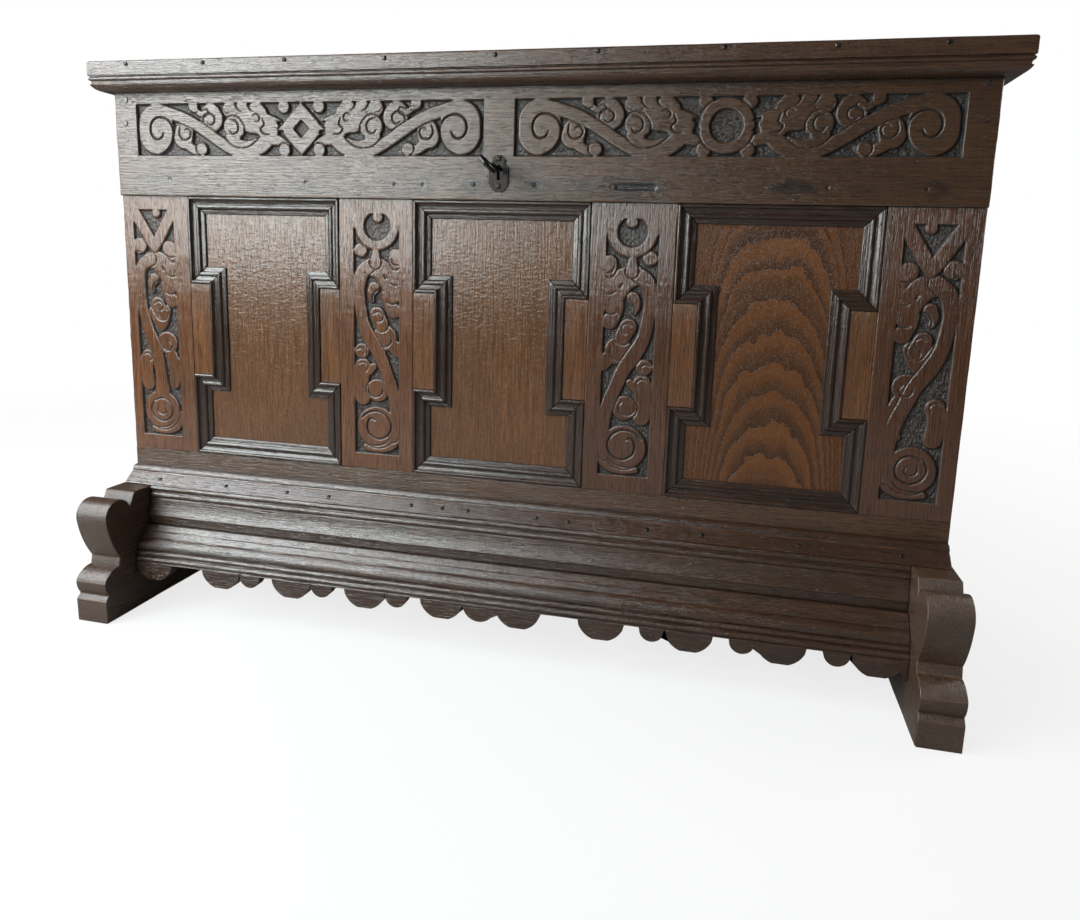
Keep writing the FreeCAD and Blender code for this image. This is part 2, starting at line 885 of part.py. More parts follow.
floorFoot = s.footHeight + s.bearerHeight
floorWidth = (backInside - frameBack) / 3
floorReach = sideInside - s.boardGap
for index, place in enumerate(("front", "middle", "back")):
    start = frameBack + floorWidth * index
    name = f"floor_board_{place}"
    subpart(board(
        name,
        (-floorReach, start + s.boardGap / 2, floorFoot),
        (floorReach, start + floorWidth - s.boardGap / 2, floorFoot + s.floorThick),
    ), name)


# ---- lid --------------------------------------------------------------------------------------

lidEdge = halfWidth + s.capClearance
lidFront = friezeFace - s.capClearance
cleatInside = lidEdge - s.cleatWidth
lidTongue = s.lidThick / 3
tongueReach = 14

boardDepth = (rearEnd - lidFront) / 3
for index, place in enumerate(("front", "middle", "back")):
    name = f"lid_board_{place}"
    start = lidFront + boardDepth * index
    stop = start + boardDepth - (s.boardGap if place != "back" else 0)
    subpart(together(name, [
        board(f"{name}_body", (-cleatInside, start, lidBottom), (cleatInside, stop, lidTop)),
        board(
            f"{name}_tongues",
            (-cleatInside - tongueReach, start + 12, lidBottom + lidTongue),
            (cleatInside + tongueReach, stop - 12, lidBottom + lidTongue * 2),
        ),
    ]), name)

for side, sign in (("left", -1), ("right", 1)):
    name = f"lid_cleat_{side}"
    low, high = across(sign, cleatInside, lidEdge)
    grooveLow, grooveHigh = across(sign, cleatInside - 1, cleatInside + tongueReach + 1)
    stock = board(f"{name}_body", (low, lidFront, lidBottom), (high, rearEnd, lidTop - s.lidMouldStep))
    groove = board(
        f"{name}_groove",
        (grooveLow, lidFront + 11, lidBottom + lidTongue),
        (grooveHigh, rearEnd - 11, lidBottom + lidTongue * 2),
    )
    subpart(cut(name, stock, [groove]), name)

lidMouldTop = s.lidMouldDrop + s.lidThick - s.lidMouldStep
lidMouldFoot = lidBottom - s.lidMouldDrop
lidOutline = [
    (0, 0),
    (9, 0),
    (22.6, 8.6, 15.5),
    (22.6, 9.6),
    (20.6, 10.2),
    (21, 13.8),
    (22.4, 14.2),
    (22.4, 19.4, 2.9),
    (21.6, 19.8),
    (21.6, 20.8),
    (s.lidMouldWidth, 20.8),
    (s.lidMouldWidth, lidMouldTop - 4),
    (s.lidMouldWidth - 4, lidMouldTop, 4),
    (0, lidMouldTop),
]
lidOuter = lidEdge + s.lidMouldWidth
sideRun = rearEnd - lidFront + s.lidMouldWidth
subpart(moulded(
    "lid_moulding_front", lidOutline, lidOuter * 2,
    (-lidOuter, lidFront, lidMouldFoot), 0, (True, True),
), "lid_moulding_front")
subpart(moulded(
    "lid_moulding_right", lidOutline, sideRun,
    (lidEdge, lidFront - s.lidMouldWidth, lidMouldFoot), 90, (True, False),
), "lid_moulding_right")
subpart(moulded(
    "lid_moulding_left", lidOutline, sideRun,
    (-lidEdge, rearEnd, lidMouldFoot), -90, (False, True),
), "lid_moulding_left")


# ---- strap hinges -----------------------------------------------------------------------------

pinY = back + s.knuckleRadius + 1
pinZ = lidBottom - s.knuckleRadius - s.lidGap
boreRadius = s.pinRadius + s.pinPlay
strapLow = s.knuckleRadius + s.lidGap - s.strapThick


def knuckle(body, name, start, reach):
    """A rolled eye round the pin, from one X to another along the hinge."""
    outer = sketch_on(body, "YZ_Plane", f"{name}_round", start)
    hole(outer, (0, 0), s.knuckleRadius)
    pad(body, outer, f"{name}_eye", reach)


def pin_bore(body, name):
    inner = sketch_on(body, "YZ_Plane", f"{name}_bore_round", -s.strapWidth)
    hole(inner, (0, 0), boreRadius)
    pocket(body, inner, f"{name}_bore", s.strapWidth * 2, reversed_way=True)


def hinge_strap(side, middle):
    """The lid's long leaf: a tongue to the eye, a tapering strap and a leaf-shaped tip."""
    name = f"hinge_strap_{side}"
    body = body_at(name, (middle, pinY, pinZ))
    half = s.strapWidth / 2
    narrow = s.knuckleWidth / 2
    end = -s.strapLength
    plan = sketch_on(body, "XY_Plane", f"{name}_plan", strapLow)
    draw(plan, [
        (-narrow, 0),
        (-narrow, -11),
        (-half, -11),
        (-half + 7, end + 62),
        (-half + 2, end + 34, -24),
        (0, end, 44),
        (half - 2, end + 34, 44),
        (half - 7, end + 62, -24),
        (half, -11),
        (narrow, -11),
        (narrow, 0),
    ])
    pad(body, plan, f"{name}_strap", s.strapThick)
    knuckle(body, name, -narrow, s.knuckleWidth)
    pin_bore(body, name)
    return subpart(body, name)


def hinge_leaf(side, middle):
    """The back's leaf: two eyes either side of the strap's and a plate nailed to the back."""
    name = f"hinge_leaf_{side}"
    body = body_at(name, (middle, pinY, pinZ))
    half = s.strapWidth / 2
    foot = -s.leafLength
    # the plate lies on the back's outer face
    plan = sketch_on(body, "XZ_Plane", f"{name}_plan", s.knuckleRadius + 1 - s.strapThick)
    draw(plan, [
        (-half, 0),
        (-half, -14),
        (-half + 4, foot + 20),
        (-5, foot + 3),
        (5, foot + 3),
        (half - 4, foot + 20),
        (half, -14),
        (half, 0),
    ])
    pad(body, plan, f"{name}_plate", s.strapThick)
    knuckle(body, name, -half, s.strapWidth)
    pin_bore(body, name)
    inner = s.knuckleWidth / 2 + s.knuckleGap
    edge = s.knuckleRadius + 1
    gap = sketch_on(body, "XZ_Plane", f"{name}_gap_plan", edge)
    rectangle(gap, (-inner, -edge), (inner, edge))
    pocket(body, gap, f"{name}_gap")
    return subpart(body, name)


pins = []
strapNails = []
leafNails = []
for side, middle in (("left", -s.hingeOffset), ("right", s.hingeOffset)):
    hinge_strap(side, middle)
    hinge_leaf(side, middle)
    pins.append(crossbar(
        f"hinge_pin_{side}", s.pinRadius, s.strapWidth, (middle - s.strapWidth / 2, pinY, pinZ)))
    for index, inset in enumerate((50, 130, 210, 290, 362)):
        strapNails.append(nail(
            f"strap_nail_{side}_{index}",
            (middle, pinY - inset, lidBottom - s.strapThick),
            180,
        ))
    for index, (offset, drop) in enumerate(((-9, 24), (9, 42), (-8, 74), (0, 104))):
        leafNails.append(nail(
            f"leaf_nail_{side}_{index}",
            (middle + offset, back + s.strapThick, pinZ - drop),
            270,
        ))
subpart(group("hinge_pins", pins), "hinge_pins")
subpart(group("hinge_strap_nails", strapNails), "hinge_strap_nails")
subpart(group("hinge_leaf_nails", leafNails), "hinge_leaf_nails")


# ---- lock, key and escutcheon -----------------------------------------------------------------

keyX = s.keyX
keyZ = s.keyHeight
lockTop = carcaseTop - 5
lockFoot = lockTop - s.lockHeight
lockBack = frameBack + s.lockDepth
boltFront = frameBack + s.boltSetBack
boltBack = boltFront + s.boltThick
boltFoot = keyZ + 10
boltTop = boltFoot + 18
stapleFront = frameBack + 5
eyeFoot = lidBottom - s.stapleHeight + s.stapleBar
toothFoot = eyeFoot + 7
toothTop = toothFoot + 11
play = 0.3


def lock_case():
    """An iron tray let on to the back of the frieze board, with guides for the bolt."""
    name = "lock_case"
    half = s.lockWidth / 2
    wall = s.lockPlate
    low = (keyX - half, frameBack, lockFoot)
    high = (keyX + half, lockBack, lockTop)
    shell = cut(f"{name}_shell", board(f"{name}_block", low, high), [
        board(
            f"{name}_hollow",
            (low[0] + wall, frameBack - 1, lockFoot + wall),
            (high[0] - wall, lockBack - wall, lockTop - wall),
        ),
        board(
            f"{name}_staple_slot",
            (keyX - s.stapleBar / 2 - 2, frameBack - 1, lockTop - wall - 1),
            (keyX + s.stapleBar / 2 + 2, stapleFront + s.stapleWidth + 2, lockTop + 1),
        ),
    ])
    guides = []
    for index, offset in enumerate((-42, 44)):
        guides.append(board(
            f"{name}_guide_{index}",
            (keyX + offset - 3, boltFront - 3, boltFoot - 4),
            (keyX + offset + 3, lockBack - wall / 2, boltTop + 4),
        ))
    slot = board(
        f"{name}_bolt_slot",
        (keyX - half + wall, boltFront - play, boltFoot - play),
        (keyX + half - wall, boltBack + play, boltTop + play),
    )
    guided = cut(f"{name}_guides", group(f"{name}_guide_pair", guides), [slot])
    return subpart(together(name, [shell, guided]), name)


def lock_bolt():
    """A flat bolt: the key's bit turns in the notch below, the tooth enters the lid's staple."""
    name = "lock_bolt"
    body = body_at(name, (keyX, boltBack, 0))
    plan = sketch_on(body, "XZ_Plane", f"{name}_plan")
    toothTip = s.stapleBar / 2 + 3
    draw(plan, [
        (-52, boltFoot),
        (-4.6, boltFoot),
        (-4.6, boltFoot + 5.2),
        (15.8, boltFoot + 5.2),
        (15.8, boltFoot),
        (58, boltFoot),
        (58, boltTop),
        (34, boltTop),
        (34, toothTop),
        (toothTip, toothTop),
        (toothTip, toothFoot),
        (22, toothFoot),
        (22, boltTop),
        (-52, boltTop),
    ])
    pad(body, plan, f"{name}_plate", s.boltThick)
    return subpart(body, name)


def lock_spring():
    """A bent leaf against the case's plate that presses on the bolt so that it stays put."""
    name = "lock_spring"
    body = body_at(name, (keyX, lockBack - s.lockPlate, boltTop))
    leaf = sketch_on(body, "XZ_Plane", f"{name}_leaf")
    draw(leaf, [
        (-65, 62),
        (-65, 50),
        (-19, 0.4, 60),
        (-18.7, 1.6),
        (-63.8, 50.2, -58.8),
        (-55, 55),
        (-55, 62),
    ])
    pad(body, leaf, f"{name}_strip", 11)
    return subpart(body, name)


def lid_staple():
    """A plate under the lid with a hanging eye that drops into the lock."""
    name = "lid_staple"
    bar = s.stapleBar
    outer = board(
        f"{name}_outer",
        (keyX - bar / 2, stapleFront, lidBottom - s.stapleHeight),
        (keyX + bar / 2, stapleFront + s.stapleWidth, lidBottom - 1),
    )
    eye = board(
        f"{name}_eye",
        (keyX - bar, stapleFront + bar, eyeFoot),
        (keyX + bar, stapleFront + s.stapleWidth - bar, eyeFoot + 26),
    )
    plate = board(
        f"{name}_plate",
        (keyX - 30, frameBack + 2, lidBottom - 2.5),
        (keyX + 30, frameBack + 30, lidBottom),
    )
    return subpart(together(name, [cut(f"{name}_loop", outer, [eye]), plate]), name)


def escutcheon():
    """A keyhole plate, rounded below and drawn in to a narrow head above."""
    name = "escutcheon"
    body = body_at(name, (keyX, friezeFace, keyZ))
    half = s.escutcheonWidth / 2
    top = s.escutcheonHeight * 0.36
    foot = top - s.escutcheonHeight
    plan = sketch_on(body, "XZ_Plane", f"{name}_plan")
    draw(plan, [
        (-half, foot + 13),
        (half, foot + 13, half + 0.05),
        (half, top - 15),
        (half - 5, top - 10, -7),
        (half - 5, top - 5),
        (-half + 5, top - 5, 10),
        (-half + 5, top - 10),
        (-half, top - 15, -7),
    ])
    pad(body, plan, f"{name}_plate", s.escutcheonThick)
    opening = sketch_on(body, "XZ_Plane", f"{name}_keyhole")
    keyhole_outline(opening, 0, 0)
    pocket(body, opening, f"{name}_keyway", reversed_way=True)
    return subpart(body, name)


def key():
    """A ring bow forged with six flats, a collar, a round shank and a warded bit."""
    name = "key"
    bowMiddle = friezeFace - s.keyReach
    shankEnd = lockBack - s.lockPlate - 1
    bow = body_at(f"{name}_bow", (0, bowMiddle - s.bowRadius, 0))
    section = sketch_on(bow, "XZ_Plane", f"{name}_bow_section")
    draw(section, [
        (s.bowWire * math.cos(corner), s.bowRadius + s.bowWire * math.sin(corner))
        for corner in (math.radians(60 * index) for index in range(6))
    ])
    ring = bow.newObject("PartDesign::Revolution", f"{name}_bow_ring")
    ring.Profile = section
    ring.ReferenceAxis = (section, ["H_Axis"])
    ring.Angle = 360
    shank = rod(f"{name}_shank", s.keyShankRadius, shankEnd - bowMiddle, (0, shankEnd, 0))
    collar = rod(f"{name}_collar", s.keyShankRadius + 1.6, 4, (0, bowMiddle + 12, 0))
    bitFront = boltFront - 2
    bit = cut(f"{name}_bit", board(
        f"{name}_bit_plate",
        (-s.bitThick / 2, bitFront, -s.bitLength),
        (s.bitThick / 2, bitFront + s.bitWidth, 0),
    ), [board(
        f"{name}_ward",
        (-s.bitThick, bitFront + 3, -s.bitLength - 1),
        (s.bitThick, bitFront + 4.6, -s.bitLength + 5),
    )])
    forged = together(f"{name}_forged", [bow, shank, collar, bit])
    # at rest the key stands part-turned, its bit towards the lower right
    turned = document.addObject("Part::Compound", name)
    turned.Links = [forged]
    turned.Placement.Rotation = FreeCAD.Rotation(FreeCAD.Vector(0, -1, 0), s.keyRest.value)
    move(turned, (keyX, 0, keyZ))
    return subpart(turned, name)


lock_case()
lock_bolt()
lock_spring()
lid_staple()
escutcheon()
key()


# ---- pegs and nails ---------------------------------------------------------------------------

# split oak pegs, roughly eight-sided, pin the frieze board to the front posts of the side frames
pegs = []
for side, x, drop in (("left", -601, 30), ("left", -603, 64), ("right", 601, 26), ("right", 604, 67)):
    peg = document.addObject("Part::Prism", f"peg_{side}_{drop}")
    peg.Polygon = 8
    bind(peg, "Circumradius", s.pegRadius)
    bind(peg, "Height", s.pegLength + s.topRailProud + s.pegProud)
    peg.Placement.Rotation = FreeCAD.Rotation(FreeCAD.Vector(1, 0, 0), 90)
    move(peg, (x, friezeFace + s.topRailProud + s.pegLength, carcaseTop - drop))
    pegs.append(peg)
subpart(group("joint_pegs", pegs), "joint_pegs")

# nails through the plinth's sloping fascia, unevenly spaced as the maker drove them
fasciaReach = s.plinthReach * 0.68
fasciaHeight = s.footHeight + 8.2
fasciaTurn = 40
fasciaNails = [
    nail(f"fascia_nail_{index}", (x, front - fasciaReach, fasciaHeight), fasciaTurn)
    for index, x in enumerate((-560, -440, -333, -262, -127, -78, -38, 66, 113, 226, 302, 430, 560))
]
subpart(group("plinth_nails", fasciaNails), "plinth_nails")

# nails along the lid's front moulding, near its upper edge
lidNails = [
    nail(f"lid_nail_{index}", (x, lidFront - s.lidMouldWidth, lidTop - rise), 90)
    for index, (x, rise) in enumerate((
        (-576, 8), (-447, 9), (-316, 8), (-164, 9.5), (-6, 9), (132, 8), (291, 8), (425, 9), (549, 8.5)))
]
subpart(group("lid_moulding_nails", lidNails), "lid_moulding_nails")

# rivets that hold the lock, and the two small nails of the escutcheon
fixings = [
    rod(
        f"lock_rivet_{index}", s.rivetRadius, s.lockDepth + s.frameThick + s.topRailProud + 3.5,
        (x, lockBack + 1.5, z),
    )
    for index, (x, z) in enumerate(((-43, 669), (44, 669)))
]
fixings += [
    nail(f"escutcheon_nail_{index}", (keyX, friezeFace - s.escutcheonThick, keyZ + rise))
    for index, rise in enumerate((13.5, -23.5))
]
subpart(group("lock_fixings", fixings), "lock_fixings")


# ---- check and write --------------------------------------------------------------------------

document.recompute()
for item in document.Objects:
    if "Invalid" in item.State or "Error" in item.State:
        raise RuntimeError(f"{item.Label} did not recompute: {item.State}")
for piece in subparts:
    if piece.Shape.isNull() or not piece.Shape.isValid() or not piece.Shape.Solids:
        raise RuntimeError(f"{piece.Label} has no sound shape")

os.makedirs("parts", exist_ok=True)
for piece in subparts:
    piece.Shape.exportStep(f"parts/{piece.Label}.step")
print(len(subparts), "sub-parts written")
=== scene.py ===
import math
import random

import bmesh
import bpy
import numpy as np
from mathutils import Matrix, Vector, noise


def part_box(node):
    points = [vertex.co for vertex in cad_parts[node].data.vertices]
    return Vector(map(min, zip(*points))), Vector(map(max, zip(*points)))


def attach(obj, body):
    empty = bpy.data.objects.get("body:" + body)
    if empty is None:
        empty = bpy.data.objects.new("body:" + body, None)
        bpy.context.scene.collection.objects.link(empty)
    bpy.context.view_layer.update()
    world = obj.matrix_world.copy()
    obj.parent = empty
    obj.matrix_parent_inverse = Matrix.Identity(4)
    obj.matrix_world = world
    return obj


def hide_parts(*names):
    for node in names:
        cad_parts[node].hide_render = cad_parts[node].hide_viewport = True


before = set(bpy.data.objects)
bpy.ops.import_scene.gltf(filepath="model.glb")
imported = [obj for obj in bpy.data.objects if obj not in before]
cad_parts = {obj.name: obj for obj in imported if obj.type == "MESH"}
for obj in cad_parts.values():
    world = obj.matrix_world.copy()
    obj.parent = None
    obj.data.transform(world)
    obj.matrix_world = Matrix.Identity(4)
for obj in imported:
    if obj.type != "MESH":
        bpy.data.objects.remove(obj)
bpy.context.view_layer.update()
mm = 0.001


def linear(code):
    # an sRGB hex value as linear colour
    parts = [int(code[i:i + 2], 16) / 255 for i in (1, 3, 5)]
    return tuple(c / 12.92 if c <= 0.04045 else ((c + 0.055) / 1.055) ** 2.4 for c in parts) + (1,)


def add(tree, kind, inputs=None, **settings):
    # one node, its settings, and its inputs as links or fixed values; gives its outputs
    node = tree.nodes.new("ShaderNode" + kind)
    for key, value in settings.items():
        setattr(node, key, value)
    for key, value in (inputs or {}).items():
        if isinstance(value, bpy.types.NodeSocket):
            tree.links.new(value, node.inputs[key])
        else:
            node.inputs[key].default_value = value
    return node.outputs


def emptyMaterial(name):
    finish = bpy.data.materials.new(name)
    finish.use_nodes = True
    finish.node_tree.nodes.clear()
    return finish, finish.node_tree


def newObject(name, data):
    made = bpy.data.objects.new(name, data)
    bpy.context.scene.collection.objects.link(made)
    return made


def smoothStep(t):
    t = np.clip(t, 0, 1)
    return t * t * (3 - 2 * t)


# Sawn and planed European oak, centuries old: open pores in lines along the grain, growth rings, silvery rays
# on quartered boards, dark from wax and smoke. The wax gives a low broad gloss, dust and dirt stay in the
# hollows, and handling wears the arrises to a lighter brown.
# Painted shade darkens the crevices, and soot with painted shade darkens the carving's walls and lines.
oakValues = {
    "light": "#64442c", "dark": "#372416", "ray": "#654a36", "pore": "#160e09",  # the wood
    # the marks; the soot also paints shade in the carving's lines, and the stain also paints shade at the
    # frieze's right end
    "worn": "#785640", "dirt": "#0e0b09", "dust": "#2d2721", "stainAndShade": "#0d0c0d", "sootAndShade": "#060403",
    # how much of each pattern shows
    "ringDepth": 0.45, "bands": 0.0, "rays": 0.2, "pores": 0.6, "patches": 0.45, "mottle": 0.2,
    "wear": 0.6, "dirtCover": 0.82, "sootAndShadeCover": 0.9,
    "ring": 2.6,  # width of a year in mm
    "sway": 7, "feather": 1.0, "steepen": 0.0,  # bends in years, teeth in mm, arches of a crown cut
    "fleck": (0.15, 0.05), "tooth": 0.28,  # rays and teeth in grains per mm
    "rough": 0.215, "gloss": 0.9, "coat": 0.12, "coatRough": 0.2,  # the wax
    "relief": 0.5, "crevice": 9.0,  # depth of the grain and reach of the painted shade in crevices, in mm
    "streak": 0.6, "ripple": 0.2, "year": 0.25, "pit": 0.35, "crumb": 2.2,  # shares of the relief
}
# Each pattern in grains per mm along and across the board, the noise's detail and roughness, and the noise
# that becomes 0 and 1.
oakPatterns = {
    "sway": (0.006, 0.016, 3.0, 0.55, 0.0, 1.0),  # bends of the trunk, 170 by 60 mm
    "fibres": (0.016, 0.42, 4.0, 0.7, 0.32, 0.68),  # bundles of fibres, 60 by 2.4 mm
    "pores": (0.045, 0.8, 2.0, 0.5, 0.53, 0.68),  # 22 by 1.3 mm, wider than real ones so that they show
    "mottle": (0.22, 0.34, 3.0, 0.65, 0.4, 0.62),  # blotches in the wax, 4.5 by 3 mm
    "patches": (0.006, 0.018, 3.0, 0.55, 0.35, 0.65),  # smoke and handling, 170 by 55 mm
    "rubbed": (0.03, 0.09, 3.0, 0.55, 0.35, 0.6),  # where cloths and hands rubbed, 33 by 11 mm
    "dusty": (0.2, 0.28, 3.0, 0.6, 0.38, 0.62),  # crumbs of dust, 5 by 3.6 mm
}
ageAndShadeLayers = ("worn", "hollow", "stainAndShade", "gouge")


def oak(name, **changes):
    v = dict(oakValues, **changes)
    patterns = dict(oakPatterns, teeth=(0.012, v["tooth"], 1.5, 0.55, 0.0, 1.0),
                    rays=(*v["fleck"], 1.5, 0.5, 0.2, 0.8))
    finish, tree = emptyMaterial(name)
    grain = add(tree, "Attribute", attribute_name="grain")["Vector"]
    place = add(tree, "VectorMath", {0: grain, "Scale": 1 / mm}, operation="SCALE")[0]

    def pattern(key, least=0.0, most=1.0, distortion=0.0):
        along, across, detail, roughness, low, high = patterns[key]
        vector = add(tree, "VectorMath", {0: place, 1: (along, across, across)}, operation="MULTIPLY")[0]
        grains = add(tree, "TexNoise", {"Vector": vector, "Scale": 1.0, "Detail": detail,
                     "Roughness": roughness, "Distortion": distortion})[0]
        return add(tree, "MapRange", {0: grains, 1: low, 2: high, 3: least, 4: most})[0]

    parts = add(tree, "SeparateXYZ", {0: place})
    across, through = parts[1], parts[2]
    if v["steepen"]:
        # 90 mm from the middle of a crown-cut board the arches steepen into straight grain
        wide = add(tree, "Math", {0: across, 1: across}, operation="MULTIPLY")[0]
        wide = add(tree, "Math", {0: wide, 1: v["steepen"] / 90 ** 2, 2: 1.0}, operation="MULTIPLY_ADD")[0]
        across = add(tree, "Math", {0: across, 1: wide}, operation="MULTIPLY")[0]
    fromHeart = add(tree, "CombineXYZ", {0: across, 1: through})[0]
    radius = add(tree, "VectorMath", {0: fromHeart}, operation="LENGTH")[1]
    swing = v["ring"] * v["sway"] / 2
    for bend in (pattern("sway", -swing, swing), pattern("teeth", -v["feather"], v["feather"])):
        radius = add(tree, "Math", {0: radius, 1: bend}, operation="ADD")[0]
    years = add(tree, "Math", {0: radius, 1: v["ring"]}, operation="DIVIDE")[0]
    rings = add(tree, "TexNoise", {"W": years, "Scale": 1.0, "Detail": 3.0, "Roughness": 0.6},
                noise_dimensions="1D")[0]
    rings = add(tree, "MapRange", {0: rings, 1: 0.3, 2: 0.7})[0]
    if v["bands"]:
        # each year starts with a dark porous line and pales away from it
        year = add(tree, "Math", {0: years}, operation="FRACT")[0]
        year = add(tree, "Math", {0: year, 1: 0.75}, operation="POWER")[0]
        rings = add(tree, "Mix", {0: v["bands"], 2: rings, 3: year}, data_type="FLOAT")[0]
    fibres, pores, mottle, patches = [pattern(key) for key in ("fibres", "pores", "mottle", "patches")]
    rays = pattern("rays", distortion=0.3)
    rubbed, dusty = pattern("rubbed"), pattern("dusty")
    worn, hollow, stainAndShade, gouge = [add(tree, "Attribute", attribute_name=key)["Fac"]
                                  for key in ageAndShadeLayers]
    bare = add(tree, "Math", {0: worn, 1: rubbed}, operation="MULTIPLY")[0]
    crumbs = add(tree, "Math", {0: dusty, 1: hollow}, operation="MULTIPLY")[0]

    tone = add(tree, "Mix", {0: v["ringDepth"], 2: fibres, 3: rings}, data_type="FLOAT")[0]
    colour = add(tree, "Mix", {0: tone, 6: linear(v["dark"]), 7: linear(v["light"])}, data_type="RGBA")[2]
    ground = add(tree, "Mix", {0: dusty, 6: linear(v["dirt"]), 7: linear(v["dust"])}, data_type="RGBA")[2]
    # covers: dirt and dust in the grounds, iron stains with painted shade, and soot with painted shade in the
    # walls and lines
    covers = ((patches, v["patches"], linear(v["dark"])), (mottle, v["mottle"], linear(v["dark"])),
              (rays, v["rays"], linear(v["ray"])), (pores, v["pores"], linear(v["pore"])),
              (bare, v["wear"], linear(v["worn"])), (hollow, v["dirtCover"], ground),
              (stainAndShade, 1.0, linear(v["stainAndShade"])), (gouge, v["sootAndShadeCover"], linear(v["sootAndShade"])))
    for layer, share, tint in covers:
        share = add(tree, "Math", {0: layer, 1: share}, operation="MULTIPLY")[0]
        colour = add(tree, "Mix", {0: share, 6: colour, 7: tint}, data_type="RGBA")[2]
    # painted shade: the colour darkens in crevices and under overhangs, within the crevice reach
    shade = add(tree, "AmbientOcclusion", {"Distance": v["crevice"] * mm}, samples=6)["AO"]
    shade = add(tree, "MapRange", {0: shade, 1: 0.25, 2: 0.85, 3: 0.3, 4: 1.0})[0]
    colour = add(tree, "Mix", {0: 1.0, 6: colour, 7: shade}, data_type="RGBA", blend_type="MULTIPLY")[2]

    # wax is smoothest on the rays and away from crevices; the sooty lines and the crevices under painted
    # shade are dull
    shadeRough, fibreRough = 0.4, 0.17
    rough = v["rough"] + shadeRough - fibreRough / 2
    for layer, share in ((fibres, fibreRough), (hollow, 0.08), (shade, -shadeRough), (gouge, 0.45),
                         (stainAndShade, -0.05), (pores, 0.06), (rays, -0.06 - v["rays"] * 0.1)):
        rough = add(tree, "Math", {0: layer, 1: share, 2: rough}, operation="MULTIPLY_ADD")[0]
    height = 0.0
    for layer, rise in ((fibres, v["streak"]), (rays, v["ripple"]), (rings, v["year"]), (pores, -v["pit"]),
                        (crumbs, v["crumb"])):
        height = add(tree, "Math", {0: layer, 1: rise, 2: height}, operation="MULTIPLY_ADD")[0]
    bump = add(tree, "Bump", {"Strength": 1.0, "Distance": v["relief"] * mm, "Height": height})
    surface = add(tree, "BsdfPrincipled", {
        "Base Color": colour, "Roughness": rough, "IOR": 1.5, "Specular IOR Level": v["gloss"],
        "Coat Weight": v["coat"], "Coat Roughness": v["coatRough"], "Normal": bump[0]})
    add(tree, "OutputMaterial", {0: surface[0]})
    return finish


waxedOak = oak("waxedOak")
uprightOak = oak("waxedOakUprights", light="#855535", dark="#4d2f1c", rays=0.12)
# a darker copy of the uprights' oak for the right-hand uprights: painted shade
shadedUprightOak = oak("shadedOakUprights", light="#6c442d", dark="#3d2518", rays=0.12)
quarteredOak = oak("quarteredOakPanels", light="#855732", dark="#472d19", ringDepth=0.25, rays=0.2,
                   rough=0.24, relief=0.4, patches=0.3, pores=0.3, ripple=0.5, streak=0.2, mottle=0.6,
                   fleck=(0.24, 0.11), gloss=0.7)
figuredOak = oak("figuredOakPanel", light="#7c491e", dark="#221108", ring=19.0, ringDepth=0.9, rays=0.0,
                 rough=0.25, patches=0.15, feather=5.0, sway=1.0, streak=0.2, steepen=1.2, pores=0.5,
                 bands=0.65, tooth=0.09, gloss=0.75)
mouldingOak = oak("stainedOakMouldings", light="#3f2b20", dark="#1f140e", worn="#6b4f3c", crevice=6.0,
                  rays=0.05, rough=0.21, wear=0.9, relief=0.35)
blockOak = oak("paleOakBlocks", light="#815532", dark="#54331c", rays=0.15)
plinthOak = oak("waxedOakPlinth", light="#523625", dark="#281910", rays=0.1, patches=0.5, rough=0.19,
                gloss=1.1, coat=0.05)
footOak = oak("waxedOakFeet", light="#6a5141", dark="#3a2b22", rays=0.12, patches=0.5)
sideOak = oak("waxedOakSides", light="#5e4330", dark="#352418")
lidOak = oak("waxedOakLid", light="#66462f", dark="#382517", rays=0.2)
# its painted shade reaches 22 mm into the hollows under the lid
lidMouldingOak = oak("waxedOakLidMoulding", light="#5c3e2c", dark="#301f15", rays=0.2, crevice=22.0)
# Inside and behind, the oak was left as it came from the plane: dry, greyer and duller.
dryOak = oak("unfinishedOak", light="#8f7357", dark="#5f4835", ray="#a58a6c", rough=0.62, rays=0.3,
             worn="#a58a6c", coat=0.0)
pegOak = oak("cleftOakPegs", light="#4e3a2c", dark="#2c2018", rays=0.0, relief=0.3)

# Hand-forged wrought iron: hammered, blackened by the fire and waxed, with brown rust where it holds. The
# hammer's dents, the pits and the spread of the rust are in mm.
ironValues = {"metal": "#3b3937", "scale": "#1b1a1a", "rust": "#4a2f22", "rusting": 0.3, "rough": 0.45,
              "dents": 7, "pits": 1.6, "spread": 22}


